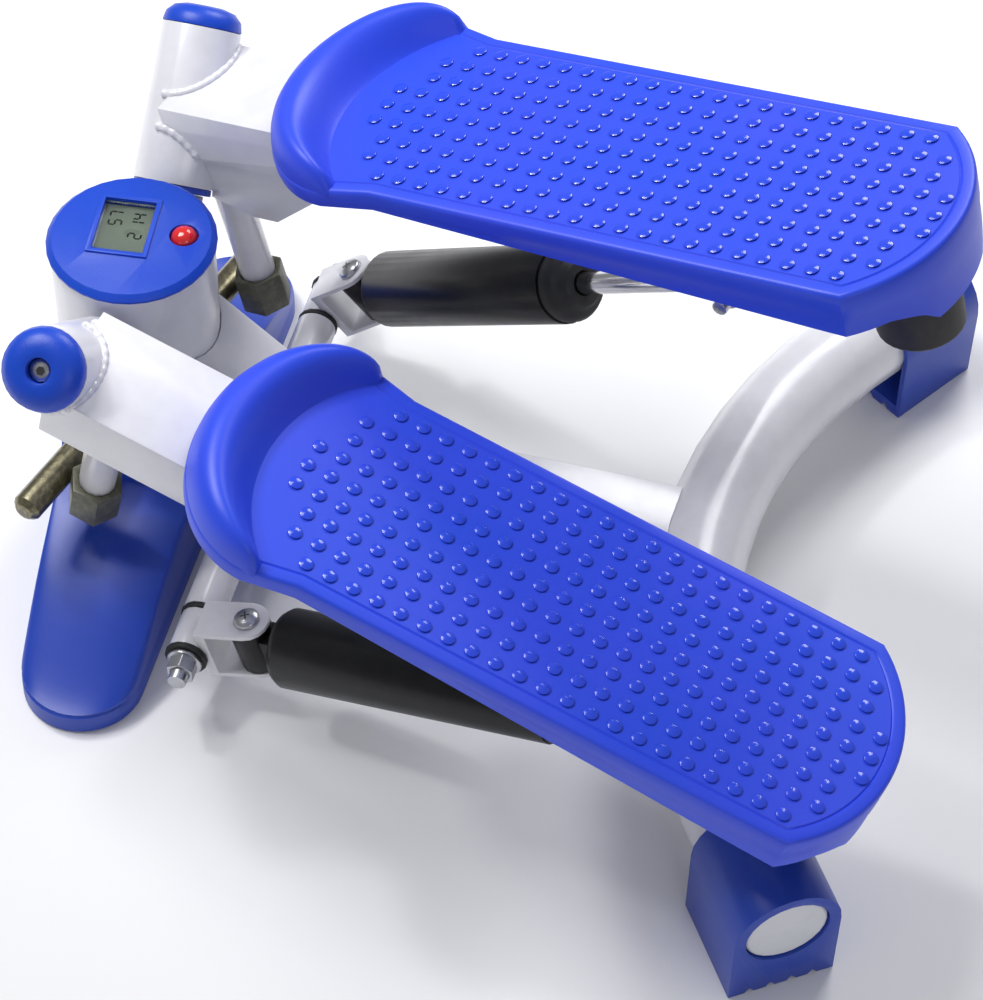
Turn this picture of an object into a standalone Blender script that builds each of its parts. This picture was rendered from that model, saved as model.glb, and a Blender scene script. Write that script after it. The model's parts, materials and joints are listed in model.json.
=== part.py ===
"""Twist stepper: a post on a front foot, a beam to a bent rear tube, and two pedal arms.

The arms turn on axles that lean outwards, so each pedal swings sideways as it drops.
A rocker bar through the post links the arms, and a damper under each pedal slows it.
Metres, +Z up, +Y forwards (away from the user), +X to the user's right.
The origin lies on the floor, on the post's axis.
"""
import math

import bmesh
import bpy
from mathutils import Matrix, Vector

# Driving dimensions, in metres and degrees
gap = 0.0003
round_steps = 28

post_radius = 0.042
post_wall = 0.003
post_bottom = 0.0283
post_top = 0.1955

axle_lean = 43.7
swing = 36.8
pivot_rim = Vector((0.1226, 0.0, 0.2321))
sleeve_radius = 0.021
sleeve_bore = 0.0155
sleeve_length = 0.082

pedal_mid_centre = Vector((0.0867, -0.2794, 0.2338))
pedal_mid_yaw = -2.4
pedal_mid_pitch = -1.3
pedal_mid_roll = 1.6
pedal_half_width = 0.063
pedal_heel_corner = -0.1325
pedal_heel_end = -0.163
pedal_toe_start = 0.140
pedal_toe_centre = 0.150
pedal_toe_half_width = 0.069
pedal_toe_length = 0.0555
skirt_at_toe = 0.0092
skirt_at_heel = 0.0235
heel_guard_depth = 0.038
heel_guard_half_width = 0.026
pedal_panel_thickness = 0.0035
lip_height = 0.021

arm_tube_width = 0.058
arm_tube_height = 0.030
arm_tube_top = -0.0063
arm_tube_back = 0.020
arm_tube_wall = 0.002
sleeve_toe = 0.280
strut_place = Vector((-0.015, 0.259))
strut_radius = 0.0095
strut_end = -0.147
hex_flats = 0.025
hex_top = -0.1235
hex_bottom = -0.1455

bracket_sheet = 0.002
rod_anchor = Vector((0.0, -0.0385, -0.0655))
ear_thickness = 0.0025
inner_ear = -0.0092
outer_ear = 0.0182
ear_radius = 0.009
bumper_toe = -0.1345
bumper_radius = 0.0215
bumper_end = -0.070

axle_back = -0.0625
axle_height = 0.038
axle_tube_end = 0.1045
axle_tube_radius = 0.011
axle_rod_radius = 0.005
clevis_centre = 0.1197
clevis_width = 0.0234
clevis_reach = 0.0347
clevis_half_height = 0.0165
clevis_sheet = 0.0025

damper_radius = 0.021
damper_start = 0.0150
damper_end = 0.172
gland_end = 0.186
piston_place = 0.050
rod_radius = 0.006
rod_eye_radius = 0.0105
rod_eye_bore = 0.0072

rocker_height = 0.0925
rocker_radius = 0.008
rocker_half_length = 0.109
rocker_turn = 16.5

beam_half_width = 0.025
beam_bottom = 0.028
beam_top = 0.063
rear_tube_radius = 0.025
rear_tube_height = 0.046
rear_tube_centre = -0.305
rear_bend_radius = 0.281
rear_bend = 34.0
rear_straight = 0.0759
rear_cap_radius = 0.028
rear_cap_length = 0.057

monitor_top = 0.200
monitor_radius = 0.0435
monitor_turn = 6.0
screen_centre = Vector((0.005, 0.0055))
screen_size = Vector((0.035, 0.026))
button_place = Vector((0.0071, -0.0256))
button_radius = 0.0068

foot_half_width = 0.032
foot_back = -0.0055
foot_half_length = 0.169
foot_rim = 0.001
foot_skirt = 0.013
foot_crown = 0.058
collar_radius = 0.0470
collar_top = 0.075

palette = {
    "white_paint": ((0.86, 0.87, 0.90), 0.35, 0.0),
    "blue_plastic": ((0.02, 0.06, 0.62), 0.45, 0.0),
    "dark_blue_plastic": ((0.02, 0.07, 0.50), 0.42, 0.0),
    "white_plastic": ((0.80, 0.80, 0.78), 0.5, 0.0),
    "black_paint": ((0.012, 0.012, 0.013), 0.35, 0.0),
    "black_rubber": ((0.02, 0.02, 0.02), 0.8, 0.0),
    "chrome": ((0.75, 0.75, 0.76), 0.12, 1.0),
    "zinc": ((0.55, 0.56, 0.58), 0.32, 1.0),
    "oiled_steel": ((0.22, 0.21, 0.16), 0.38, 1.0),
    "hex_nylon": ((0.06, 0.065, 0.05), 0.55, 0.0),
    "bronze": ((0.45, 0.30, 0.12), 0.4, 1.0),
    "clear_window": ((0.8, 0.85, 0.85), 0.1, 0.0),
    "screen_glass": ((0.30, 0.34, 0.26), 0.35, 0.0),
    "circuit_green": ((0.02, 0.20, 0.08), 0.5, 0.0),
    "red_plastic": ((0.75, 0.02, 0.02), 0.25, 0.0),
}


# Scene helpers
def clear_scene():
    for scene_object in list(bpy.data.objects):
        bpy.data.objects.remove(scene_object, do_unlink=True)


def new_collection(name):
    collection = bpy.data.collections.new(name)
    bpy.context.scene.collection.children.link(collection)
    return collection


def get_material(name):
    material = bpy.data.materials.get(name)
    if material:
        return material
    colour, roughness, metallic = palette[name]
    material = bpy.data.materials.new(name)
    material.use_nodes = True
    shader = material.node_tree.nodes["Principled BSDF"]
    shader.inputs["Base Color"].default_value = (*colour, 1.0)
    shader.inputs["Roughness"].default_value = roughness
    shader.inputs["Metallic"].default_value = metallic
    material.diffuse_color = (*colour, 1.0)
    return material


def add_part(name, mesh, material, matrix=None, parent=None):
    """Put one named sub-part in the parts collection, under its joint's empty if it has one."""
    mesh.name = name
    mesh.materials.clear()
    mesh.materials.append(get_material(material))
    mesh.shade_smooth()
    mesh.set_sharp_from_angle(angle=math.radians(35))
    part = bpy.data.objects.new(name, mesh)
    parts_collection.objects.link(part)
    place = matrix or Matrix.Identity(4)
    if parent:
        part.parent = parent
        place = parent.matrix_world.inverted() @ place
    part.matrix_local = place
    return part


def add_tool(mesh, part, operation, matrix=None):
    """Cut or join a mesh, given in the part's own frame unless a world matrix is given."""
    tool = bpy.data.objects.new(f"{part.name}_tool", mesh)
    tools_collection.objects.link(tool)
    bpy.context.view_layer.update()
    tool.matrix_world = matrix if matrix is not None else part.matrix_world.copy()
    tool.hide_render = True
    tool.display_type = "WIRE"
    modifier = part.modifiers.new(operation.lower(), "BOOLEAN")
    modifier.operation = operation
    modifier.object = tool
    modifier.solver = "EXACT"
    return tool


def cut(part, mesh, matrix=None):
    add_tool(mesh, part, "DIFFERENCE", matrix)


def join(part, mesh, matrix=None):
    add_tool(mesh, part, "UNION", matrix)


def add_joint_empty(name, location):
    empty = bpy.data.objects.new(name, None)
    parts_collection.objects.link(empty)
    empty.empty_display_size = 0.03
    empty.location = location
    bpy.context.view_layer.update()
    return empty


# Mesh helpers
def rod_mesh(radius, low, high, steps=round_steps, top_radius=None):
    """A solid round bar along Z."""
    shape = bmesh.new()
    bmesh.ops.create_cone(
        shape, cap_ends=True, segments=steps, radius1=radius,
        radius2=radius if top_radius is None else top_radius, depth=high - low,
    )
    bmesh.ops.translate(shape, verts=shape.verts, vec=(0, 0, (low + high) / 2))
    return to_mesh(shape)


def box_mesh(low, high):
    shape = bmesh.new()
    bmesh.ops.create_cube(shape, size=1.0)
    size = Vector(high) - Vector(low)
    bmesh.ops.scale(shape, verts=shape.verts, vec=size)
    bmesh.ops.translate(shape, verts=shape.verts, vec=(Vector(low) + Vector(high)) / 2)
    return to_mesh(shape)


def to_mesh(shape):
    mesh = bpy.data.meshes.new("shape")
    shape.to_mesh(mesh)
    shape.free()
    return mesh


def profile_mesh(points, closed):
    """A line of (radius, height) points for a Screw modifier."""
    shape = bmesh.new()
    verts = [shape.verts.new((radius, 0, height)) for radius, height in points]
    for first, second in zip(verts, verts[1:]):
        shape.edges.new((first, second))
    if closed:
        shape.edges.new((verts[-1], verts[0]))
    return to_mesh(shape)


def turn(part, steps=round_steps):
    screw = part.modifiers.new("turn", "SCREW")
    screw.steps = steps
    screw.render_steps = steps
    screw.use_merge_vertices = True
    screw.merge_threshold = 0.00001
    screw.use_smooth_shade = True


def turned_part(name, points, material, matrix=None, parent=None, closed=True, steps=round_steps):
    part = add_part(name, profile_mesh(points, closed), material, matrix, parent)
    turn(part, steps)
    return part


def bushing_profile(inner, outer, low, high):
    return [(outer, high), (outer, low), (inner, low), (inner, high)]


def curve_to_mesh(curve):
    """The evaluated mesh of a curve, with its caps welded."""
    holder = bpy.data.objects.new("outline", curve)
    bpy.context.scene.collection.objects.link(holder)
    graph = bpy.context.evaluated_depsgraph_get()
    mesh = bpy.data.meshes.new_from_object(holder.evaluated_get(graph))
    shape = bmesh.new()
    shape.from_mesh(mesh)
    bmesh.ops.remove_doubles(shape, verts=shape.verts, dist=0.00001)
    shape.to_mesh(mesh)
    shape.free()
    bpy.data.objects.remove(holder, do_unlink=True)
    return mesh


def outline_mesh(outline, depth):
    """A flat outline in XY, given thickness along Z about its own plane."""
    curve = bpy.data.curves.new("outline", "CURVE")
    curve.dimensions = "2D"
    curve.fill_mode = "BOTH"
    curve.extrude = depth / 2
    spline = curve.splines.new("POLY")
    spline.points.add(len(outline) - 1)
    for point, (x, y) in zip(spline.points, outline):
        point.co = (x, y, 0, 1)
    spline.use_cyclic_u = True
    return curve_to_mesh(curve)


def tube_curve_mesh(points, radius, resolution=6, caps=True):
    curve = bpy.data.curves.new("tube", "CURVE")
    curve.dimensions = "3D"
    curve.bevel_depth = radius
    curve.bevel_resolution = resolution
    curve.use_fill_caps = caps
    spline = curve.splines.new("POLY")
    spline.points.add(len(points) - 1)
    for point, place in zip(spline.points, points):
        point.co = (*place, 1)
    return curve_to_mesh(curve)


def loft_mesh(rings):
    """A closed body through rings of equal point counts, from its bottom to its top."""
    shape = bmesh.new()
    loops = [[shape.verts.new(point) for point in ring] for ring in rings]
    count = len(loops[0])
    for lower, upper in zip(loops, loops[1:]):
        for index in range(count):
            following = (index + 1) % count
            shape.faces.new((lower[index], lower[following], upper[following], upper[index]))
    shape.faces.new(list(reversed(loops[0])))
    shape.faces.new(loops[-1])
    bmesh.ops.recalc_face_normals(shape, faces=shape.faces)
    return to_mesh(shape)


def arc_points(centre, radius, start, end, steps):
    """Points on an arc in a plane, from one angle to another, in degrees."""
    points = []
    for step in range(steps + 1):
        angle = math.radians(start + (end - start) * step / steps)
        points.append((centre[0] + radius * math.cos(angle), centre[1] + radius * math.sin(angle)))
    return points


def frame_matrix(origin, x_axis, y_axis, z_axis):
    matrix = Matrix((x_axis, y_axis, z_axis)).transposed().to_4x4()
    matrix.translation = origin
    return matrix


def frame_along(origin, z_axis):
    rotation = Vector((0, 0, 1)).rotation_difference(z_axis)
    return Matrix.Translation(origin) @ rotation.to_matrix().to_4x4()


# Places that the motion sets
def lean_axis(side):
    lean = math.radians(axle_lean)
    return Vector((side * math.cos(lean), 0, math.sin(lean)))


def pivot_frame(side):
    """Origin at the sleeve's outer rim, +Z outwards along the axle."""
    return frame_along(Vector((side * pivot_rim.x, pivot_rim.y, pivot_rim.z)), lean_axis(side))


def pedal_frame(side):
    """The pedal's frame at rest: +Y to the toe, +Z up. The left pedal is down, the right is up."""
    half_swing = math.radians(swing / 2) * (-1 if side > 0 else 1)
    turn_matrix = Matrix.Rotation(half_swing, 3, lean_axis(1))
    attitude = (
        Matrix.Rotation(math.radians(pedal_mid_yaw), 3, "Z")
        @ Matrix.Rotation(math.radians(pedal_mid_pitch), 3, "X")
        @ Matrix.Rotation(math.radians(pedal_mid_roll), 3, "Y")
    )
    centre = pivot_rim + turn_matrix @ (pedal_mid_centre - pivot_rim)
    rotation = turn_matrix @ attitude
    if side < 0:
        mirror = Matrix.Diagonal((-1, 1, 1))
        rotation = mirror @ rotation @ mirror
        centre.x = -centre.x
    return Matrix.Translation(centre) @ rotation.to_4x4()


def clevis_frame(side):
    """Origin on the lower axle, +X along it, -Y towards the damper, +Z along the clevis bolt."""
    anchor = pedal_frame(side) @ rod_anchor
    origin = Vector((side * clevis_centre, axle_back, axle_height))
    pitch = math.atan2(anchor.z - origin.z, origin.y - anchor.y)
    bolt_axis = Vector((0, math.sin(pitch), math.cos(pitch)))
    back = Vector((0, math.cos(pitch), -math.sin(pitch)))
    return frame_matrix(origin, Vector((1, 0, 0)), back, bolt_axis)


def damper_frame(side):
    """Origin on the clevis bolt, +Z along the damper to its rod end, +Y along the bolt."""
    clevis = clevis_frame(side)
    origin = clevis @ Vector((0, -clevis_reach, 0))
    along = (pedal_frame(side) @ rod_anchor - origin).normalized()
    bolt_axis = clevis.to_3x3() @ Vector((0, 0, 1))
    return frame_matrix(origin, bolt_axis.cross(along), bolt_axis, along)


def damper_length(side):
    return (pedal_frame(side) @ rod_anchor - damper_frame(side).translation).length


# Base: post, front foot, beam and rear tube
def build_post():
    profile = bushing_profile(post_radius - post_wall, post_radius, post_bottom, post_top)
    post = turned_part("post", profile, "white_paint", steps=32)
    slot = math.tan(math.radians(rocker_turn)) * post_radius + rocker_radius + 0.0015
    reach = post_radius * 2
    slot_half = rocker_radius + 0.0015
    cut(post, box_mesh((-reach, -slot, rocker_height - slot_half), (reach, slot, rocker_height + slot_half)))


def build_front_crossbar():
    bar = add_part("front_crossbar", box_mesh((-0.105, -0.018, 0.008), (0.105, 0.016, 0.028)), "white_paint")
    cut(bar, box_mesh((-0.110, -0.016, 0.010), (0.110, 0.014, 0.026)))
    add_part("front_pad", box_mesh((-0.100, -0.016, 0.0), (0.100, 0.014, 0.008 - gap)), "black_rubber")


def stadium_point(fraction):
    """A point on the foot's outline, a rectangle with round ends, by its share of the way round."""
    straight = 2 * (foot_half_length - foot_half_width)
    bend = math.pi * foot_half_width
    way = (fraction % 1.0) * 2 * (straight + bend)
    if way < bend:
        angle = way / foot_half_width - math.pi / 2
        return straight / 2 + foot_half_width * math.cos(angle), foot_half_width * math.sin(angle)
    way -= bend
    if way < straight:
        return straight / 2 - way, foot_half_width
    way -= straight
    if way < bend:
        angle = way / foot_half_width + math.pi / 2
        return -straight / 2 + foot_half_width * math.cos(angle), foot_half_width * math.sin(angle)
    way -= bend
    return -straight / 2 + way, -foot_half_width


def foot_point(fraction):
    """A point on the cover's outline, which bulges to clear the post."""
    x, across = stadium_point(fraction)
    y = across + foot_back
    if abs(x) < collar_radius:
        bulge = math.sqrt(collar_radius ** 2 - x * x)
        y = max(y, bulge) if across > 0 else min(y, -bulge)
    return x, y


def foot_height(x, share):
    """Height of the crowned cover, by the share of the way in from its edge to the collar."""
    shoulder = 0.045
    travel = max(0.0, abs(x) - shoulder) / (foot_half_length - shoulder)
    crown = foot_crown - (foot_crown - foot_skirt) * min(1.0, travel) ** 1.8
    return foot_skirt + (crown - foot_skirt) * math.sqrt(1.0 - (1.0 - share) ** 2.6)


def build_front_cover():
    count = 36
    rings = []
    outline = [foot_point((index + 0.5) / count) for index in range(count)]
    rings.append([(x, y, foot_rim) for x, y in outline])
    rings.append([(x * 0.998, y * 0.995, foot_skirt) for x, y in outline])
    for share in (0.07, 0.20, 0.45, 0.75):
        ring = []
        for x, y in outline:
            angle = math.atan2(y * foot_half_length / foot_half_width, x)
            inner_x, inner_y = collar_radius * math.cos(angle), collar_radius * math.sin(angle)
            ring_x = x + (inner_x - x) * share
            ring_y = y + (inner_y - y) * share
            ring.append((ring_x, ring_y, foot_height(ring_x, share)))
        rings.append(ring)
    for height in (foot_crown + 0.002, collar_top):
        ring = []
        for x, y in outline:
            angle = math.atan2(y * foot_half_length / foot_half_width, x)
            ring.append((collar_radius * math.cos(angle), collar_radius * math.sin(angle), height))
        rings.append(ring)
    shape = bmesh.new()
    loops = [[shape.verts.new(point) for point in ring] for ring in rings]
    for lower, upper in zip(loops, loops[1:]):
        for index in range(count):
            following = (index + 1) % count
            shape.faces.new((lower[index], lower[following], upper[following], upper[index]))
    cover = add_part("front_cover", to_mesh(shape), "dark_blue_plastic")
    shell = cover.modifiers.new("shell", "SOLIDIFY")
    shell.thickness = 0.0022
    shell.offset = -1.0
    shell.use_even_offset = False
    side = beam_half_width + gap
    cut(cover, box_mesh((-side, -0.070, beam_bottom - gap), (side, -0.030, 0.090)))


def rear_tube_path(steps=6):
    """The tube's centre line: a bend at the middle and a straight run to each end."""
    half = []
    for step in range(steps + 1):
        angle = math.radians(rear_bend) * step / steps
        x = rear_bend_radius * math.sin(angle)
        y = rear_tube_centre - rear_bend_radius * (1 - math.cos(angle))
        half.append(Vector((x, y, rear_tube_height)))
    return half


def rear_end(side):
    """Frame at the cap's outer face: +Z outwards along the tube, +Y up."""
    angle = math.radians(rear_bend)
    outwards = Vector((side * math.cos(angle), -math.sin(angle), 0))
    bend_end = rear_tube_path()[-1]
    bend_end.x *= side
    origin = bend_end + outwards * rear_straight
    up = Vector((0, 0, 1))
    return frame_matrix(origin, up.cross(outwards), up, outwards)


def build_rear_tube():
    half = rear_tube_path()
    end_wall = 0.004 + gap
    points = list(half)
    tip = rear_end(1) @ Vector((0, 0, -end_wall))
    points.append(tip)
    mirrored = [Vector((-point.x, point.y, point.z)) for point in points[1:]]
    path = list(reversed(mirrored)) + points
    mesh = tube_curve_mesh(path, rear_tube_radius, resolution=5, caps=False)
    tube = add_part("rear_tube", mesh, "white_paint")
    wall = tube.modifiers.new("wall", "SOLIDIFY")
    wall.thickness = 0.002
    wall.offset = -1.0


def rear_cap_outline():
    """An arch over the tube, straight sides to the floor and a ribbed sole."""
    arch = arc_points((0, 0), rear_cap_radius, 0, 180, 12)
    teeth = 5
    floor = -rear_tube_height
    pitch = 2 * rear_cap_radius / teeth
    sole = [(-rear_cap_radius, floor)]
    for tooth in range(1, teeth):
        groove = -rear_cap_radius + tooth * pitch
        sole += [(groove - 0.0025, floor), (groove, floor + 0.0035), (groove + 0.0025, floor)]
    sole.append((rear_cap_radius, floor))
    return arch + sole


def build_rear_ends():
    for side, label in ((-1, "left"), (1, "right")):
        frame = rear_end(side)
        body = outline_mesh(rear_cap_outline(), rear_cap_length)
        middle = frame @ Matrix.Translation((0, 0, -rear_cap_length / 2))
        cap = add_part(f"{label}_rear_cap", body, "dark_blue_plastic", middle)
        deep = rear_cap_length / 2 - 0.004
        cut(cap, rod_mesh(rear_tube_radius + gap, -rear_cap_length, deep, 36))
        cut(cap, rod_mesh(0.0222, 0, rear_cap_length, 24))
        inner = rear_cap_radius - 0.003
        low = -rear_tube_height + 0.0075
        cut(cap, box_mesh((-inner, low, -rear_cap_length), (inner, 0, deep - 0.006)))
        disc_profile = [(0, -0.0012), (0.0205, -0.0012), (0.0218, -0.0025), (0.0218, -0.016), (0, -0.016)]
        turned_part(f"{label}_end_disc", disc_profile, "white_plastic", frame, closed=False, steps=24)


def build_centre_beam():
    back = rear_tube_centre
    beam = add_part(
        "centre_beam",
        box_mesh((-beam_half_width, back, beam_bottom), (beam_half_width, -0.030, beam_top)),
        "white_paint",
    )
    inner = beam_half_width - 0.002
    cut(beam, box_mesh((-inner, back - 0.05, beam_bottom + 0.002), (inner, 0, beam_top - 0.002)))
    cut(beam, rod_mesh(post_radius + gap, 0, 0.1, 36), Matrix.Identity(4))
    across = Matrix.Rotation(math.radians(90), 4, "Y")
    tube_hole = Matrix.Translation((-0.1, axle_back, axle_height)) @ across
    cut(beam, rod_mesh(axle_tube_radius + gap, 0, 0.2), tube_hole)
    cut(beam, tube_curve_mesh(rear_cut_path(), rear_tube_radius + gap, resolution=5))


def rear_cut_path():
    half = rear_tube_path()[:3]
    mirrored = [Vector((-point.x, point.y, point.z)) for point in half[1:]]
    return list(reversed(mirrored)) + half


def build_post_gusset():
    outline = [(-0.030, 0.146), (-0.030, beam_top + gap), (-0.122, beam_top + gap)]
    upright = frame_matrix(Vector((0, 0, 0)), Vector((0, 1, 0)), Vector((0, 0, 1)), Vector((1, 0, 0)))
    gusset = add_part("post_gusset", outline_mesh(outline, 2 * beam_half_width), "white_paint", upright)
    hollow = [(-0.020, 0.140), (-0.020, 0.050), (-0.118, 0.050), (-0.1125, beam_top + 0.0032)]
    cut(gusset, outline_mesh(hollow, 2 * (beam_half_width - 0.0025)))
    cut(gusset, rod_mesh(post_radius + gap, 0, 0.2, 36), Matrix.Identity(4))


def build_lower_axle():
    across = frame_matrix(
        Vector((0, axle_back, axle_height)), Vector((0, 1, 0)), Vector((0, 0, 1)), Vector((1, 0, 0))
    )
    tube = bushing_profile(axle_tube_radius - 0.002, axle_tube_radius, -axle_tube_end, axle_tube_end)
    turned_part("axle_tube", tube, "white_paint", across)
    rod_half = 0.150
    add_part("axle_rod", rod_mesh(axle_rod_radius, -rod_half, rod_half, 16), "zinc", across)
    inner_ring = (axle_tube_end + gap, clevis_centre - clevis_width / 2 - gap)
    outer_ring = (clevis_centre + clevis_width / 2 + gap, clevis_centre + clevis_width / 2 + 0.0032)
    nut = (outer_ring[1] + gap, outer_ring[1] + 0.0100)
    bore = axle_rod_radius + gap
    for side, label in ((-1, "left"), (1, "right")):
        outwards = across @ Matrix.Diagonal((side, 1, side, 1))
        for ring_name, (low, high) in (("inner", inner_ring), ("outer", outer_ring)):
            profile = bushing_profile(bore, axle_tube_radius + 0.0004, low, high)
            turned_part(f"{label}_{ring_name}_ring", profile, "black_rubber", outwards, steps=16)
        flange = rod_mesh(0.0094, nut[0], nut[0] + 0.0022, 16)
        axle_nut = add_part(f"{label}_axle_nut", flange, "zinc", outwards)
        join(axle_nut, rod_mesh(0.0078, nut[0] + 0.001, nut[1], 6))
        cut(axle_nut, rod_mesh(bore, nut[0] - 0.01, nut[1] + 0.01, 12))


def build_pivot_axles():
    boss_end = -sleeve_length - 0.0042
    for side, label in ((-1, "left"), (1, "right")):
        frame = pivot_frame(side)
        profile = [
            (0, -0.002), (0.012, -0.002), (0.012, boss_end), (0.017, boss_end),
            (0.017, -0.125), (0, -0.125),
        ]
        axle = turned_part(f"{label}_pivot_axle", profile, "zinc", frame, closed=False)
        cut(axle, rod_mesh(post_radius + gap, 0, 0.3, 36), Matrix.Identity(4))
        cut(axle, rod_mesh(0.0044, -0.018, 0.01, 12))
        screw_profile = [
            (0, 0.0078), (0.0040, 0.0078), (0.0058, 0.0066), (0.0058, 0.0045),
            (0.0040, 0.0045), (0.0040, -0.014), (0, -0.014),
        ]
        turned_part(f"{label}_cap_screw", screw_profile, "zinc", frame, closed=False, steps=12)


# Monitor in the post's top
def build_monitor():
    housing_profile = [
        (0, monitor_top), (0.0405, monitor_top), (monitor_radius, monitor_top - 0.003),
        (monitor_radius, post_top + gap), (0.0385, post_top + gap), (0.0385, 0.172),
        (0.036, 0.172), (0.036, monitor_top - 0.004), (0, monitor_top - 0.004),
    ]
    turned = Matrix.Rotation(math.radians(monitor_turn), 4, "Z")
    housing = turned_part("monitor_housing", housing_profile, "blue_plastic", turned, closed=False, steps=32)
    centre = turned.inverted() @ screen_centre.to_3d()
    button = turned.inverted() @ button_place.to_3d()
    half = screen_size / 2

    def plate(margin, low, high):
        return box_mesh(
            (centre.x - half.x - margin, centre.y - half.y - margin, low),
            (centre.x + half.x + margin, centre.y + half.y + margin, high),
        )

    join(housing, plate(0.0028, monitor_top - 0.002, monitor_top + 0.0012))
    cut(housing, plate(gap, monitor_top - 0.01, monitor_top + 0.01))
    hole = Matrix.Translation((button.x, button.y, 0))
    cut(housing, rod_mesh(button_radius + 0.0008, 0.19, 0.21), turned @ hole)
    add_part("lcd_window", plate(0, monitor_top - 0.0022, monitor_top - 0.0008), "clear_window", turned)
    add_part("lcd_panel", plate(0.0012, 0.1934, monitor_top - 0.004 - gap), "screen_glass", turned)
    add_part("circuit_board", rod_mesh(0.0335, 0.1880, 0.1896), "circuit_green")
    add_part("coin_cell", rod_mesh(0.010, 0.1842, 0.1877, 16), "zinc", Matrix.Translation((0.008, 0.008, 0)))
    button_profile = [
        (0, 0.2036), (0.0030, 0.2031), (0.0055, 0.2016), (button_radius, 0.1992),
        (button_radius, 0.1952), (0.0090, 0.1952), (0.0090, 0.1930), (0, 0.1930),
    ]
    empty = add_joint_empty("reset_button_axis", (button_place.x, button_place.y, monitor_top))
    axis = Matrix.Translation((button_place.x, button_place.y, 0))
    turned_part("reset_button", button_profile, "red_plastic", axis, empty, closed=False, steps=12)


# Rocker bar through the post
def build_rocker():
    shelf_top = rocker_height - rocker_radius - 0.0012
    disc = rod_mesh(post_radius - post_wall - gap, shelf_top - 0.004, shelf_top, 36)
    shelf = add_part("rocker_shelf", disc, "white_paint")
    cut(shelf, rod_mesh(0.005 + gap, 0, 0.2, 12))
    pin_profile = [
        (0, 0.114), (0.008, 0.114), (0.008, 0.106), (0.005, 0.106), (0.005, 0.078), (0, 0.078),
    ]
    turned_part("rocker_pin", pin_profile, "zinc", closed=False, steps=12)
    empty = add_joint_empty("rocker_axis", (0, 0, rocker_height))
    along = (
        Matrix.Translation((0, 0, rocker_height))
        @ Matrix.Rotation(math.radians(-rocker_turn), 4, "Z")
        @ Matrix.Rotation(math.radians(90), 4, "Y")
    )
    edge = 0.003
    bar_profile = [
        (0, rocker_half_length), (rocker_radius - edge, rocker_half_length),
        (rocker_radius, rocker_half_length - edge), (rocker_radius, -rocker_half_length + edge),
        (rocker_radius - edge, -rocker_half_length), (0, -rocker_half_length),
    ]
    bar = turned_part("rocker_bar", bar_profile, "oiled_steel", along, empty, closed=False, steps=12)
    cut(bar, rod_mesh(0.005 + gap, 0.05, 0.15, 12), Matrix.Identity(4))


# Pedal arms
def build_arm_frame(side, label, empty):
    frame = pedal_frame(side)
    pivot = pivot_frame(side)
    half = arm_tube_width / 2
    bottom = arm_tube_top - arm_tube_height
    front = sleeve_toe - 0.003
    arm = add_part(
        f"{label}_arm_frame", box_mesh((-half, arm_tube_back, bottom), (half, front, arm_tube_top)),
        "white_paint", frame, empty,
    )
    inner = half - arm_tube_wall
    cut(arm, box_mesh(
        (-inner, arm_tube_back - 0.1, bottom + arm_tube_wall),
        (inner, sleeve_toe - 0.035, arm_tube_top - arm_tube_wall),
    ))
    upright = Matrix.Translation((side * strut_place.x, strut_place.y, 0))
    join(arm, rod_mesh(strut_radius, strut_end, bottom + 0.004, 16), frame @ upright)
    outline = [
        (0.272, bottom + 0.002), (0.2665, -0.062), (0.238, -0.0715),
        (0.222, -0.0715), (0.168, bottom + 0.002),
    ]
    corner = Vector((side * -0.015, 0, 0))
    sideways = frame_matrix(corner, Vector((0, 1, 0)), Vector((0, 0, 1)), Vector((1, 0, 0)))
    join(arm, outline_mesh(outline, 0.024), frame @ sideways)
    join(arm, rod_mesh(sleeve_radius, -sleeve_length, 0, 24), pivot)
    cut(arm, rod_mesh(sleeve_bore, -sleeve_length - 0.02, 0.02, 24), pivot)
    cut(arm, rod_mesh(sleeve_radius + gap, -0.130, -sleeve_length, 24), pivot)


def build_pivot_fittings(side, label, empty):
    frame = pivot_frame(side)
    liner = [
        (0.0205, -sleeve_length - gap), (0.0205, -sleeve_length - 0.0036),
        (0.0123, -sleeve_length - 0.0036), (0.0123, -0.003),
        (sleeve_bore - gap, -0.003), (sleeve_bore - gap, -sleeve_length - gap),
    ]
    turned_part(f"{label}_pivot_liner", liner, "dark_blue_plastic", frame, empty)
    cap = [
        (0.0062, 0.0110), (0.0100, 0.0112), (0.0160, 0.0096), (0.0198, 0.0058), (sleeve_radius, gap),
        (0.0045, gap), (0.0045, 0.0041), (0.0062, 0.0041),
    ]
    turned_part(f"{label}_sleeve_cap", cap, "blue_plastic", frame, empty)
    upright = Matrix.Translation((side * strut_place.x, strut_place.y, 0))
    corner = hex_flats / 2 / math.cos(math.radians(30))
    block = add_part(
        f"{label}_hex_block", rod_mesh(corner, hex_bottom, hex_top, 6), "hex_nylon",
        pedal_frame(side) @ upright, empty,
    )
    cut(block, rod_mesh(strut_radius + gap, hex_bottom - 0.01, hex_top + 0.01, 16))


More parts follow.
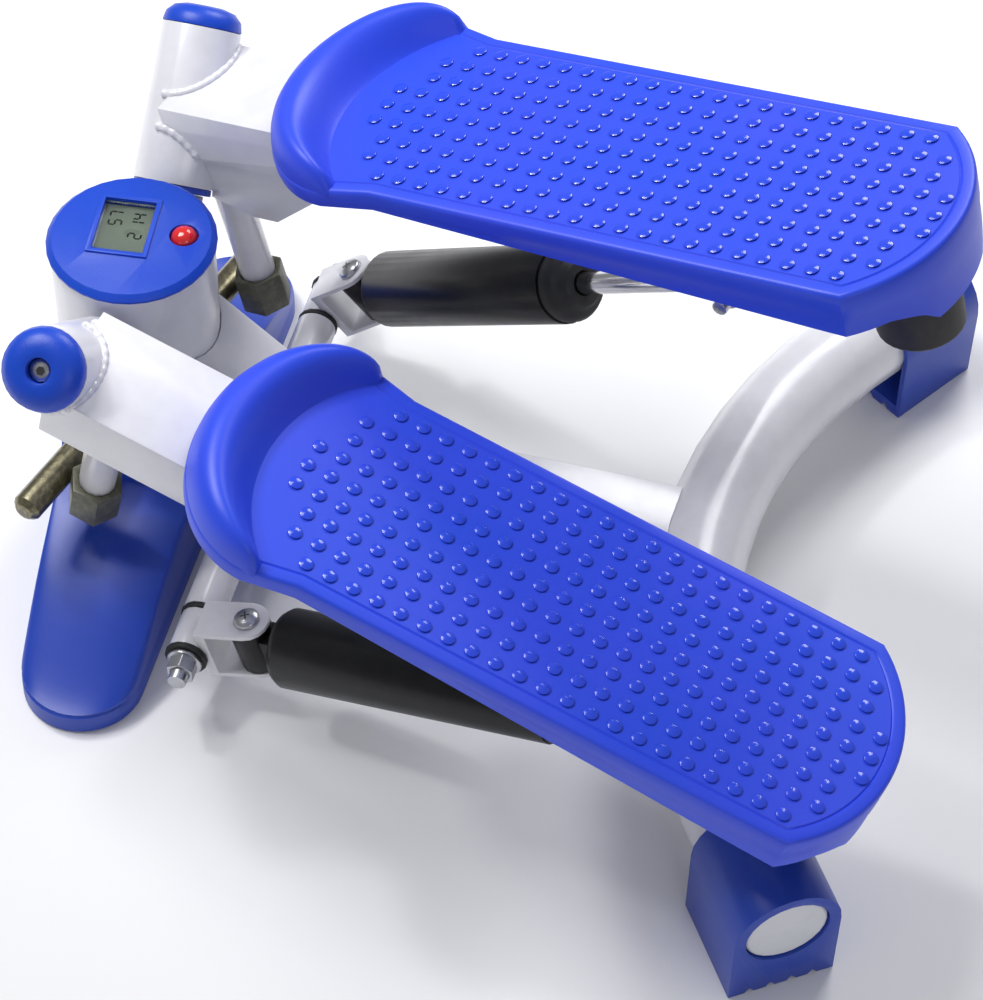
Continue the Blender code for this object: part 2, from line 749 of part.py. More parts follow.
def pedal_outline(inset=0.0):
    """The footplate's outline: round toe, straight sides and an arched heel."""
    points = []
    side_x = pedal_half_width - inset
    sagitta = pedal_heel_corner - pedal_heel_end
    heel_radius = (pedal_half_width ** 2 + sagitta ** 2) / (2 * sagitta)
    heel_centre = pedal_heel_end + heel_radius
    for step in range(9):
        x = -side_x + 2 * side_x * step / 8
        points.append((x, heel_centre - math.sqrt((heel_radius - inset) ** 2 - x * x)))
    for toe in (-0.100, -0.020, 0.060, pedal_toe_start):
        points.append((side_x, toe))
    toe_x = pedal_toe_half_width - inset
    for step in range(17):
        angle = math.pi * step / 16
        toe_y = pedal_toe_centre + (pedal_toe_length - inset) * math.sin(angle)
        points.append((toe_x * math.cos(angle), toe_y))
    for toe in (pedal_toe_start, 0.060, -0.020, -0.100):
        points.append((-side_x, toe))
    return points


def lip_outline(inset):
    """The crescent in front of the toes, between the toe's outline and an inner arc."""
    outer = []
    for step in range(17):
        angle = math.radians(-8 + 196 * step / 16)
        reach = pedal_toe_half_width - inset
        toe_y = pedal_toe_centre + (pedal_toe_length - inset) * math.sin(angle)
        outer.append((reach * math.cos(angle), toe_y))
    inner_radius = 0.0894
    inner_centre = 0.165 - inner_radius
    start = math.degrees(math.atan2(outer[-1][1] - inner_centre, outer[-1][0] + inset * 0.6))
    end = math.degrees(math.atan2(outer[0][1] - inner_centre, outer[0][0] - inset * 0.6))
    inner = arc_points((0, inner_centre), inner_radius + inset * 0.7, start, end, 14)
    return outer + inner[1:-1]


def build_footplate(side, label, empty):
    frame = pedal_frame(side)
    outline_levels = ((0.0010, -heel_guard_depth), (0.0, -0.004), (0.0012, 0.0012))
    rings = [[(x, y, height) for x, y in pedal_outline(inset)] for inset, height in outline_levels]
    plate = add_part(f"{label}_footplate", loft_mesh(rings), "blue_plastic", frame, empty)
    hollow_levels = ((0.0038, -heel_guard_depth - 0.003), (0.0035, -pedal_panel_thickness))
    hollow = [[(x, y, height) for x, y in pedal_outline(inset)] for inset, height in hollow_levels]
    cut(plate, loft_mesh(hollow))
    levels = ((0.0030, -0.0022), (0.0004, 0.0040), (0.0030, 0.0145), (0.0085, lip_height))
    join(plate, loft_mesh([[(x, y, height) for x, y in lip_outline(inset)] for inset, height in levels]))
    below = -0.06
    side_line = [
        (0.22, -skirt_at_toe), (pedal_toe_start, -skirt_at_toe), (-0.130, -skirt_at_heel),
        (-0.130, below), (0.22, below),
    ]
    sideways = frame_matrix(Vector((0, 0, 0)), Vector((0, 1, 0)), Vector((0, 0, 1)), Vector((1, 0, 0)))
    cut(plate, outline_mesh(side_line, 0.2), frame @ sideways)
    for direction in (-1, 1):
        guard = heel_guard_half_width
        heel_line = [
            (direction * x, y) for x, y in (
                (guard, below), (guard, -heel_guard_depth), (guard + 0.006, -0.0300),
                (guard + 0.018, -0.0245), (0.080, -0.0222), (0.080, below),
            )
        ]
        heel = Vector((0, -0.150, 0))
        upright = frame_matrix(heel, Vector((1, 0, 0)), Vector((0, 0, 1)), Vector((0, -1, 0)))
        cut(plate, outline_mesh(heel_line, 0.0404), frame @ upright)
    half = arm_tube_width / 2 + 0.0018
    cut(plate, box_mesh((-half, 0.13, -0.06), (half, 0.23, arm_tube_top + 0.0006)))


def build_foot_bracket(side, label, empty):
    frame = pedal_frame(side)
    top = -pedal_panel_thickness - gap
    bottom = top - bracket_sheet
    bracket = add_part(
        f"{label}_foot_bracket",
        box_mesh((-0.040, -0.146, bottom), (0.040, 0.120, top)),
        "white_paint",
        frame,
        empty
    )
    ear = [(rod_anchor.y - ear_radius - 0.004, bottom + 0.001), (rod_anchor.y - ear_radius, rod_anchor.z)]
    ear += arc_points((rod_anchor.y, rod_anchor.z), ear_radius, 195, 345, 9)
    ear += [(rod_anchor.y + ear_radius, rod_anchor.z), (rod_anchor.y + ear_radius, bottom + 0.001)]
    for place in (inner_ear, outer_ear):
        middle = Vector((side * place, 0, 0))
        sideways = frame_matrix(middle, Vector((0, 1, 0)), Vector((0, 0, 1)), Vector((1, 0, 0)))
        join(bracket, outline_mesh(ear, ear_thickness), frame @ sideways)
    across = frame_matrix(rod_anchor, Vector((0, 1, 0)), Vector((0, 0, 1)), Vector((1, 0, 0)))
    cut(bracket, rod_mesh(0.004 + gap, -0.05, 0.05, 12), frame @ across)
    head = outer_ear + ear_thickness / 2 + gap
    nut = inner_ear - ear_thickness / 2 - gap
    bolt_profile = [
        (0, head + 0.0050), (0.0050, head + 0.0050), (0.0066, head + 0.0030), (0.0066, head),
        (0.0040, head), (0.0040, nut), (0.0064, nut), (0.0064, nut - 0.0050),
        (0.0040, nut - 0.0050), (0.0040, nut - 0.0125), (0, nut - 0.0125),
    ]
    outwards = Matrix.Diagonal((side, 1, side, 1))
    place = frame @ across @ outwards
    turned_part(f"{label}_rod_bolt", bolt_profile, "zinc", place, empty, closed=False, steps=12)
    bumper_profile = [
        (0, bottom - gap), (bumper_radius, bottom - gap), (bumper_radius, bumper_end + 0.003),
        (bumper_radius - 0.003, bumper_end), (0, bumper_end),
    ]
    place = frame @ Matrix.Translation((0, bumper_toe, 0))
    turned_part(f"{label}_bumper", bumper_profile, "black_rubber", place, empty, closed=False)


# Dampers
def build_clevis(side, label):
    frame = clevis_frame(side)
    empty = add_joint_empty(f"{label}_clevis_axis", frame.translation)
    half_width = clevis_width / 2
    outline = [(half_width, -0.008), (-half_width, -0.008)]
    outline += arc_points((0, -clevis_reach), half_width, 180, 360, 8)
    strap = outline_mesh(outline, 2 * clevis_half_height)
    clevis = add_part(f"{label}_clevis", strap, "white_paint", frame, empty)
    inner = clevis_half_height - clevis_sheet
    cut(clevis, box_mesh((-0.03, -0.06, -inner), (0.03, -0.0135, inner)))
    across = frame_matrix(Vector((0, 0, 0)), Vector((0, 1, 0)), Vector((0, 0, 1)), Vector((1, 0, 0)))
    join(clevis, rod_mesh(0.0105, -half_width, half_width, 16), frame @ across)
    cut(clevis, box_mesh((-0.03, 0.0, -0.03), (0.03, 0.03, -0.0105)))
    cut(clevis, rod_mesh(axle_rod_radius + gap, -0.05, 0.05, 12), frame @ across)
    at_bolt = Matrix.Translation((0, -clevis_reach, 0))
    cut(clevis, rod_mesh(0.004 + gap, -0.03, 0.03, 12), frame @ at_bolt)
    top = clevis_half_height + gap
    bolt_profile = [
        (0, top + 0.0042), (0.0040, top + 0.0038), (0.0066, top + 0.0022), (0.0072, top),
        (0.0040, top), (0.0040, -top), (0.0066, -top), (0.0066, -top - 0.0050),
        (0.0040, -top - 0.0050), (0.0040, -top - 0.0065), (0, -top - 0.0065),
    ]
    turned_part(f"{label}_clevis_bolt", bolt_profile, "zinc", frame @ at_bolt, empty, closed=False, steps=12)
    return empty


def build_damper(side, label):
    frame = damper_frame(side)
    empty = add_joint_empty(f"{label}_damper_axis", frame.translation)
    shoulder = 0.006
    wall = 0.0025
    body_profile = [
        (0, damper_start),
        (0.0135, damper_start),
        (0.0185, damper_start + 0.002),
        (damper_radius, damper_start + shoulder),
        (damper_radius, damper_end),
        (damper_radius - wall, damper_end),
        (damper_radius - wall, damper_start + 0.012),
        (0, damper_start + 0.012),
    ]
    top_down = list(reversed(body_profile))
    body = turned_part(f"{label}_damper_body", top_down, "black_paint", frame, empty, closed=False)
    bolt_turn = frame_matrix(Vector((0, 0, 0)), Vector((0, 0, 1)), Vector((1, 0, 0)), Vector((0, 1, 0)))
    eye_half = clevis_half_height - clevis_sheet - 0.0006
    join(body, rod_mesh(0.0112, -eye_half, eye_half, 16), frame @ bolt_turn)
    join(body, box_mesh((-0.0075, -0.009, 0.004), (0.0075, 0.009, damper_start + 0.004)))
    cut(body, rod_mesh(0.004 + gap, -0.03, 0.03, 12), frame @ bolt_turn)
    gland_profile = [
        (0.0185 - gap, damper_end - 0.006), (0.0065, damper_end - 0.006), (0.0065, gland_end),
        (0.0120, gland_end), (0.0145, gland_end - 0.004), (0.0180, gland_end - 0.005),
        (0.0200, gland_end - 0.008), (0.0200, damper_end + gap), (0.0185 - gap, damper_end + gap),
    ]
    turned_part(f"{label}_damper_gland", gland_profile, "black_rubber", frame, empty)
    return empty


def build_piston(side, label):
    frame = damper_frame(side)
    length = damper_length(side)
    extension = length - damper_length(-1)
    empty = add_joint_empty(f"{label}_rod_axis", frame.translation)
    piston_low = piston_place + extension
    shaft = rod_mesh(rod_radius, piston_low, length - 0.016, 16)
    rod = add_part(f"{label}_piston_rod", shaft, "chrome", frame, empty)
    pin_axis = pedal_frame(side).to_3x3() @ Vector((1, 0, 0))
    along = frame.to_3x3() @ Vector((0, 0, 1))
    eye_axis = (pin_axis - along * pin_axis.dot(along)).normalized()
    eye_frame = frame_matrix(frame @ Vector((0, 0, length)), along, eye_axis.cross(along), eye_axis)
    join(rod, rod_mesh(0.0042, length - 0.017, length - 0.008, 12))
    join(rod, rod_mesh(rod_eye_radius, -0.0045, 0.0045, 16), eye_frame)
    cut(rod, rod_mesh(rod_eye_bore, -0.03, 0.03, 16), eye_frame)
    rim = rod_radius + gap
    piston_radius = damper_radius - 0.0025 - gap
    piston_profile = bushing_profile(rim, piston_radius, piston_low + 0.001, piston_low + 0.013)
    turned_part(f"{label}_piston", piston_profile, "bronze", frame, empty)
    return empty


def build_side(side, label):
    arm_empty = add_joint_empty(f"{label}_arm_axis", Vector((side * pivot_rim.x, pivot_rim.y, pivot_rim.z)))
    build_arm_frame(side, label, arm_empty)
    build_pivot_fittings(side, label, arm_empty)
    build_footplate(side, label, arm_empty)
    build_foot_bracket(side, label, arm_empty)
    build_clevis(side, label)
    build_damper(side, label)
    build_piston(side, label)


clear_scene()
parts_collection = new_collection("stepper")
tools_collection = new_collection("cutters")
build_post()
build_front_crossbar()
build_front_cover()
build_rear_tube()
build_rear_ends()
build_centre_beam()
build_post_gusset()
build_lower_axle()
build_pivot_axles()
build_monitor()
build_rocker()
for part_side, part_label in ((-1, "left"), (1, "right")):
    build_side(part_side, part_label)
bpy.context.view_layer.update()
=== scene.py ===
import json
import math
from functools import partial

import bmesh
import bpy
from mathutils import Matrix, Vector

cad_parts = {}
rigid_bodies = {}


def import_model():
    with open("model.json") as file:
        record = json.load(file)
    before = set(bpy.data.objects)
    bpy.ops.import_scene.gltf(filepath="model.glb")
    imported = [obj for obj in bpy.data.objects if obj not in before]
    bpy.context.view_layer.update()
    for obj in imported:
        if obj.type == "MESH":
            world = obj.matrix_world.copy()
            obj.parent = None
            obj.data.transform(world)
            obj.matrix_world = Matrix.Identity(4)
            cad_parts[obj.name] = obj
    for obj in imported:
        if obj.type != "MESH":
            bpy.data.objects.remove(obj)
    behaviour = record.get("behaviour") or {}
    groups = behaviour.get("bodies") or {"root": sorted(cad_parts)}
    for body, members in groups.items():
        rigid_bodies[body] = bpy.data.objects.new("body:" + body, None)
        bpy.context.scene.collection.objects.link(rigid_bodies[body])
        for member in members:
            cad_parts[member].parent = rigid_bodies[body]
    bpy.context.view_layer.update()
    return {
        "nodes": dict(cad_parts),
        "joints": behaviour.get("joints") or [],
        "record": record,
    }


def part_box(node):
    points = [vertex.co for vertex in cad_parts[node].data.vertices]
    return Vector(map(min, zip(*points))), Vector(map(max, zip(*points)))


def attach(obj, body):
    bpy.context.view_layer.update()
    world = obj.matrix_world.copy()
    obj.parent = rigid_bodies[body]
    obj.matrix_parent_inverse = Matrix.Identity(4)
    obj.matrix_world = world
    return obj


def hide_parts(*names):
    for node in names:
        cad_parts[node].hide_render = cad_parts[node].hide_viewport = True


# Looks for the stepper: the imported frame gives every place, this file gives shape detail and finish

for leftover in list(bpy.data.objects):
    bpy.data.objects.remove(leftover, do_unlink=True)

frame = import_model()
joints = {joint["name"]: joint for joint in frame["joints"]}
slotOf = {part["node"]: part["material_slot"] for part in frame["record"]["subparts"]}
bodyOf = {
    node: body
    for body, members in frame["record"]["behaviour"]["bodies"].items()
    for node in members
}
print("frame loaded:", len(frame["nodes"]), "nodes")

sides = {"left": -1, "right": 1}


# Helpers for modelling

def deselectAll():
    if bpy.context.object and bpy.context.object.mode != "OBJECT":
        bpy.ops.object.mode_set(mode="OBJECT")
    bpy.ops.object.select_all(action="DESELECT")


def makeActive(piece):
    deselectAll()
    piece.select_set(True)
    bpy.context.view_layer.objects.active = piece


def applyAll(piece):
    makeActive(piece)
    for modifier in list(piece.modifiers):
        bpy.ops.object.modifier_apply(modifier=modifier.name)


def settle(piece, place=None):
    # bakes the place into the mesh, so the object sits at the origin
    if place is not None:
        piece.matrix_world = place @ piece.matrix_world
    makeActive(piece)
    bpy.ops.object.transform_apply(location=True, rotation=True, scale=True)


def smooth(piece, angle=35):
    makeActive(piece)
    bpy.ops.object.shade_smooth_by_angle(angle=math.radians(angle))


def bevelEdges(piece, width, segments=2, angle=35):
    bevel = piece.modifiers.new("edges", "BEVEL")
    bevel.width = width
    bevel.segments = segments
    bevel.limit_method = "ANGLE"
    bevel.angle_limit = math.radians(angle)
    bevel.harden_normals = False
    bevel.miter_outer = "MITER_ARC"
    applyAll(piece)


def joinPieces(pieces, name):
    deselectAll()
    for piece in pieces:
        piece.select_set(True)
    bpy.context.view_layer.objects.active = pieces[0]
    if len(pieces) > 1:
        bpy.ops.object.join()
    pieces[0].name = name
    return pieces[0]


def finishPiece(piece, name, body, material):
    piece.name = name
    piece.data.name = name
    piece.data.materials.clear()
    piece.data.materials.append(material)
    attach(piece, body)
    return piece


def softCopy(node, width, angle=35, smoothing=35, segments=2):
    # a copy of the node with merged faces and rounded edges
    source = frame["nodes"][node]
    piece = bpy.data.objects.new(node + "_skin", source.data.copy())
    bpy.context.scene.collection.objects.link(piece)
    makeActive(piece)
    bpy.ops.object.mode_set(mode="EDIT")
    bpy.ops.mesh.select_all(action="SELECT")
    bpy.ops.mesh.remove_doubles(threshold=0.00002)
    bpy.ops.mesh.dissolve_limited(angle_limit=math.radians(1.5))
    bpy.ops.mesh.select_all(action="DESELECT")
    bpy.ops.object.mode_set(mode="OBJECT")
    if "custom_normal" in piece.data.attributes:
        piece.data.attributes.remove(piece.data.attributes["custom_normal"])
    if width:
        bevelEdges(piece, width, segments, angle)
    smooth(piece, smoothing)
    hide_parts(node)
    finish = finishes[ownFinish.get(plainName(node), slotOf[node])]
    return finishPiece(piece, node + "_skin", bodyOf[node], finish)


# Shared effects, as node groups

def newGroup(name, inputs, outputs):
    group = bpy.data.node_groups.new(name, "ShaderNodeTree")
    for socketName, kind, value in inputs:
        socket = group.interface.new_socket(socketName, in_out="INPUT", socket_type=kind)
        if value is not None:
            socket.default_value = value
    for socketName, kind in outputs:
        group.interface.new_socket(socketName, in_out="OUTPUT", socket_type=kind)
    start = group.nodes.new("NodeGroupInput")
    end = group.nodes.new("NodeGroupOutput")
    start.location = (-900, 0)
    end.location = (600, 0)
    return group, start, end


def addNode(tree, kind, place, settings=None, values=None):
    node = tree.nodes.new(kind)
    node.location = place
    for key, value in (settings or {}).items():
        setattr(node, key, value)
    for key, value in (values or {}).items():
        node.inputs[key].default_value = value
    return node


def makeGrainGroup():
    # fine grain and slow unevenness of a moulded or painted surface
    group, start, end = newGroup(
        "surfaceGrain",
        [("Vector", "NodeSocketVector", None), ("Grain Scale", "NodeSocketFloat", 1500.0),
         ("Wave Scale", "NodeSocketFloat", 60.0), ("Wave Share", "NodeSocketFloat", 0.5)],
        [("Height", "NodeSocketFloat"), ("Tone", "NodeSocketFloat")],
    )
    fine = addNode(group, "ShaderNodeTexNoise", (-600, 200), values={"Detail": 3.0, "Roughness": 0.6})
    slow = addNode(group, "ShaderNodeTexNoise", (-600, -100), values={"Detail": 2.0})
    mixed = addNode(group, "ShaderNodeMix", (-200, 100), settings={"data_type": "FLOAT"})
    links = group.links
    links.new(start.outputs["Vector"], fine.inputs["Vector"])
    links.new(start.outputs["Vector"], slow.inputs["Vector"])
    links.new(start.outputs["Grain Scale"], fine.inputs["Scale"])
    links.new(start.outputs["Wave Scale"], slow.inputs["Scale"])
    links.new(start.outputs["Wave Share"], mixed.inputs[0])
    links.new(fine.outputs["Fac"], mixed.inputs[2])
    links.new(slow.outputs["Fac"], mixed.inputs[3])
    links.new(mixed.outputs[0], end.inputs["Height"])
    links.new(slow.outputs["Fac"], end.inputs["Tone"])
    return group


def makeSmudgeGroup():
    # patches and specks of dust or grease, as a mask
    group, start, end = newGroup(
        "smudges",
        [("Vector", "NodeSocketVector", None), ("Scale", "NodeSocketFloat", 35.0),
         ("Amount", "NodeSocketFloat", 0.4)],
        [("Mask", "NodeSocketFloat")],
    )
    patches = addNode(group, "ShaderNodeTexNoise", (-600, 200), values={"Detail": 6.0, "Roughness": 0.65})
    ramp = addNode(group, "ShaderNodeMapRange", (-300, 200), values={"From Min": 0.45, "From Max": 0.75})
    scaled = addNode(group, "ShaderNodeMath", (0, 200), settings={"operation": "MULTIPLY"})
    links = group.links
    links.new(start.outputs["Vector"], patches.inputs["Vector"])
    links.new(start.outputs["Scale"], patches.inputs["Scale"])
    links.new(patches.outputs["Fac"], ramp.inputs["Value"])
    links.new(ramp.outputs["Result"], scaled.inputs[0])
    links.new(start.outputs["Amount"], scaled.inputs[1])
    links.new(scaled.outputs[0], end.inputs["Mask"])
    return group


def makeEdgeGroup():
    # paler, rubbed edges, from how sharply the surface turns
    group, start, end = newGroup(
        "edgeRub",
        [("Vector", "NodeSocketVector", None), ("Amount", "NodeSocketFloat", 0.5),
         ("Break Scale", "NodeSocketFloat", 220.0)],
        [("Mask", "NodeSocketFloat")],
    )
    geometry = addNode(group, "ShaderNodeNewGeometry", (-700, 200))
    edge = addNode(group, "ShaderNodeMapRange", (-450, 200), values={"From Min": 0.54, "From Max": 0.64})
    breaks = addNode(group, "ShaderNodeTexNoise", (-700, -100), values={"Detail": 4.0})
    patchy = addNode(group, "ShaderNodeMath", (-200, 100), settings={"operation": "MULTIPLY"})
    scaled = addNode(group, "ShaderNodeMath", (100, 100), settings={"operation": "MULTIPLY"})
    links = group.links
    links.new(start.outputs["Vector"], breaks.inputs["Vector"])
    links.new(start.outputs["Break Scale"], breaks.inputs["Scale"])
    links.new(geometry.outputs["Pointiness"], edge.inputs["Value"])
    links.new(edge.outputs["Result"], patchy.inputs[0])
    links.new(breaks.outputs["Fac"], patchy.inputs[1])
    links.new(patchy.outputs[0], scaled.inputs[0])
    links.new(start.outputs["Amount"], scaled.inputs[1])
    links.new(scaled.outputs[0], end.inputs["Mask"])
    return group


grainGroup = makeGrainGroup()
smudgeGroup = makeSmudgeGroup()
edgeGroup = makeEdgeGroup()

finishTable = {
    "white_paint": dict(
        colour=(0.80, 0.80, 0.83), shade=(0.66, 0.66, 0.72),
        rough=0.30, coat=0.5, bump=0.10,
        grain=700, wave=55, share=0.75,
        dirt=0.10, dirtColour=(0.45, 0.43, 0.42), edge=0.0,
    ),
    "blue_plastic": dict(
        colour=(0.014, 0.072, 0.70), shade=(0.034, 0.058, 0.74),
        rough=0.40, coat=0.0, specular=0.4, bump=0.12,
        grain=1400, wave=14, share=0.25,
        dirt=0.04, dirtColour=(0.10, 0.14, 0.70), edge=0.35,
    ),
    "dark_blue_plastic": dict(
        colour=(0.006, 0.050, 0.38), shade=(0.016, 0.050, 0.44),
        rough=0.34, coat=0.0, specular=0.45, bump=0.12,
        grain=1200, wave=18, share=0.3,
        dirt=0.06, dirtColour=(0.10, 0.14, 0.50), edge=0.4,
    ),
    "white_plastic": dict(
        colour=(0.74, 0.75, 0.78), shade=(0.66, 0.67, 0.72),
        rough=0.45, coat=0.0, bump=0.08,
        grain=1600, wave=60, share=0.3,
        dirt=0.12, dirtColour=(0.45, 0.45, 0.48), edge=0.0,
    ),
    "black_paint": dict(
        colour=(0.003, 0.003, 0.004), shade=(0.006, 0.006, 0.007),
        rough=0.30, coat=0.0, specular=0.32, bump=0.08,
        grain=1800, wave=90, share=0.4,
        dirt=0.10, dirtColour=(0.05, 0.05, 0.05), edge=0.25,
    ),
    "black_rubber": dict(
        colour=(0.007, 0.007, 0.008), shade=(0.014, 0.014, 0.015),
        rough=0.58, coat=0.0, bump=0.30,
        grain=900, wave=70, share=0.4,
        dirt=0.18, dirtColour=(0.08, 0.08, 0.08), edge=0.3,
    ),
    "chrome": dict(
        colour=(0.72, 0.72, 0.74), shade=(0.62, 0.62, 0.64),
        rough=0.12, metal=1.0, coat=0.0, bump=0.02,
        grain=1500, wave=80, share=0.4,
        dirt=0.10, dirtColour=(0.30, 0.28, 0.25), edge=0.0,
    ),
    "zinc": dict(
        colour=(0.56, 0.57, 0.60), shade=(0.42, 0.43, 0.46),
        rough=0.30, metal=1.0, coat=0.0, bump=0.10,
        grain=900, wave=110, share=0.5,
        dirt=0.30, dirtColour=(0.18, 0.17, 0.15), edge=0.4,
    ),
    "oiled_steel": dict(
        colour=(0.20, 0.18, 0.11), shade=(0.07, 0.065, 0.05),
        rough=0.34, metal=0.85, coat=0.3, bump=0.35,
        grain=500, wave=160, share=0.6,
        dirt=0.75, dirtColour=(0.42, 0.38, 0.22), edge=0.5,
    ),
    "hex_nylon": dict(
        colour=(0.050, 0.052, 0.036), shade=(0.085, 0.085, 0.055),
        rough=0.42, coat=0.1, bump=0.35,
        grain=500, wave=130, share=0.6,
        dirt=0.60, dirtColour=(0.20, 0.19, 0.12), edge=0.6,
    ),
    "bronze": dict(
        colour=(0.40, 0.26, 0.11), shade=(0.30, 0.19, 0.08),
        rough=0.38, metal=1.0, coat=0.0, bump=0.12,
        grain=900, wave=90, share=0.5,
        dirt=0.2, dirtColour=(0.10, 0.07, 0.04), edge=0.0,
    ),
    "screen_glass": dict(
        colour=(0.235, 0.255, 0.205), shade=(0.20, 0.22, 0.18),
        rough=0.28, coat=0.5, bump=0.02,
        grain=2600, wave=40, share=0.3,
        dirt=0.0, dirtColour=(0.2, 0.2, 0.2), edge=0.0,
    ),
    "circuit_green": dict(
        colour=(0.02, 0.16, 0.06), shade=(0.015, 0.11, 0.045),
        rough=0.45, coat=0.3, bump=0.1,
        grain=900, wave=300, share=0.5,
        dirt=0.1, dirtColour=(0.3, 0.25, 0.1), edge=0.0,
    ),
    "red_plastic": dict(
        colour=(0.62, 0.008, 0.010), shade=(0.70, 0.02, 0.015),
        rough=0.16, coat=0.7, bump=0.03,
        grain=1600, wave=90, share=0.3,
        dirt=0.05, dirtColour=(0.5, 0.1, 0.1), edge=0.0,
    ),
    "tread_blue": dict(
        colour=(0.014, 0.072, 0.66), shade=(0.034, 0.058, 0.70),
        rough=0.17, coat=0.0, bump=0.04,
        grain=1400, wave=14, share=0.25,
        dirt=0.0, dirtColour=(0.10, 0.14, 0.70), edge=0.0,
    ),
    "disc_blue": dict(
        colour=(0.003, 0.062, 0.50), shade=(0.006, 0.050, 0.54),
        rough=0.36, coat=0.0, specular=0.4, bump=0.30,
        grain=1300, wave=40, share=0.2,
        dirt=0.04, dirtColour=(0.08, 0.14, 0.60), edge=0.3,
    ),
    # painted shade: the near-black colour stands in for the shade inside the screw-head driver recesses
    "recess_painted_shade": dict(
        colour=(0.05, 0.05, 0.05), shade=(0.10, 0.10, 0.10),
        rough=0.5, metal=0.6, coat=0.0, bump=0.2,
        grain=900, wave=200, share=0.4,
        dirt=0.4, dirtColour=(0.02, 0.02, 0.02), edge=0.0,
    ),
    "digit_ink": dict(
        colour=(0.006, 0.007, 0.006), shade=(0.010, 0.011, 0.009),
        rough=0.5, coat=0.0, specular=0.1, bump=0.02,
        grain=1600, wave=90, share=0.3,
        dirt=0.0, dirtColour=(0.1, 0.1, 0.1), edge=0.0,
    ),
}


def makeFinish(name, values):
    material = bpy.data.materials.new(name + "_finish")
    material.use_nodes = True
    tree = material.node_tree
    shader = tree.nodes["Principled BSDF"]
    shader.inputs["Metallic"].default_value = values.get("metal", 0.0)
    shader.inputs["Coat Weight"].default_value = values["coat"]
    shader.inputs["Coat Roughness"].default_value = 0.18
    shader.inputs["Specular IOR Level"].default_value = values.get("specular", 0.5)
    coords = addNode(tree, "ShaderNodeTexCoord", (-1400, 0))
    grain = addNode(tree, "ShaderNodeGroup", (-1100, 200), settings={"node_tree": grainGroup})
    grain.inputs["Grain Scale"].default_value = values["grain"]
    grain.inputs["Wave Scale"].default_value = values["wave"]
    grain.inputs["Wave Share"].default_value = values["share"]
    dirt = addNode(tree, "ShaderNodeGroup", (-1100, -100), settings={"node_tree": smudgeGroup})
    dirt.inputs["Scale"].default_value = values["wave"] * 1.7
    dirt.inputs["Amount"].default_value = values["dirt"]
    rub = addNode(tree, "ShaderNodeGroup", (-1100, -400), settings={"node_tree": edgeGroup})
    rub.inputs["Amount"].default_value = values["edge"]
    links = tree.links
    for group in (grain, dirt, rub):
        links.new(coords.outputs["Object"], group.inputs["Vector"])
    base = addNode(tree, "ShaderNodeMix", (-800, 300), settings={"data_type": "RGBA"})
    base.inputs[6].default_value = (*values["colour"], 1)
    base.inputs[7].default_value = (*values["shade"], 1)
    links.new(grain.outputs["Tone"], base.inputs[0])
    dirty = addNode(tree, "ShaderNodeMix", (-500, 300), settings={"data_type": "RGBA"})
    dirty.inputs[7].default_value = (*values["dirtColour"], 1)
    links.new(base.outputs[2], dirty.inputs[6])
    links.new(dirt.outputs["Mask"], dirty.inputs[0])
    rubbed = addNode(tree, "ShaderNodeMix", (-250, 300), settings={"data_type": "RGBA"})
    pale = [min(1.0, channel * 1.5 + 0.03) for channel in values["colour"]]
    rubbed.inputs[7].default_value = (*pale, 1)
    links.new(dirty.outputs[2], rubbed.inputs[6])
    links.new(rub.outputs["Mask"], rubbed.inputs[0])
    links.new(rubbed.outputs[2], shader.inputs["Base Color"])
    rough = addNode(tree, "ShaderNodeMapRange", (-500, 0))
    rough.inputs["To Min"].default_value = values["rough"] * 0.85
    rough.inputs["To Max"].default_value = values["rough"] * 1.2
    links.new(grain.outputs["Tone"], rough.inputs["Value"])
    links.new(rough.outputs["Result"], shader.inputs["Roughness"])
    bumpValues = {"Strength": values["bump"], "Distance": 0.0004}
    bump = addNode(tree, "ShaderNodeBump", (-250, -200), values=bumpValues)
    links.new(grain.outputs["Height"], bump.inputs["Height"])
    links.new(bump.outputs["Normal"], shader.inputs["Normal"])
    return material


finishes = {name: makeFinish(name, values) for name, values in finishTable.items()}


def makeWindowFinish():
    material = bpy.data.materials.new("clear_window_finish")
    material.use_nodes = True
    tree = material.node_tree
    shader = tree.nodes["Principled BSDF"]
    shader.inputs["Base Color"].default_value = (0.9, 0.95, 0.93, 1)
    shader.inputs["Transmission Weight"].default_value = 1.0
    shader.inputs["IOR"].default_value = 1.2
    coords = addNode(tree, "ShaderNodeTexCoord", (-900, 0))
    haze = addNode(tree, "ShaderNodeTexNoise", (-700, 0), values={"Scale": 120.0, "Detail": 4.0})
    rough = addNode(tree, "ShaderNodeMapRange", (-400, 0), values={"To Min": 0.02, "To Max": 0.10})
    tree.links.new(coords.outputs["Object"], haze.inputs["Vector"])
    tree.links.new(haze.outputs["Fac"], rough.inputs["Value"])
    tree.links.new(rough.outputs["Result"], shader.inputs["Roughness"])
    return material


finishes["clear_window"] = makeWindowFinish()
for nodeName, nodeObject in frame["nodes"].items():
    nodeObject.data.materials.clear()
    nodeObject.data.materials.append(finishes[slotOf[nodeName]])
print("finishes made:", len(finishes))


# The base, arms and dampers, with rounded edges

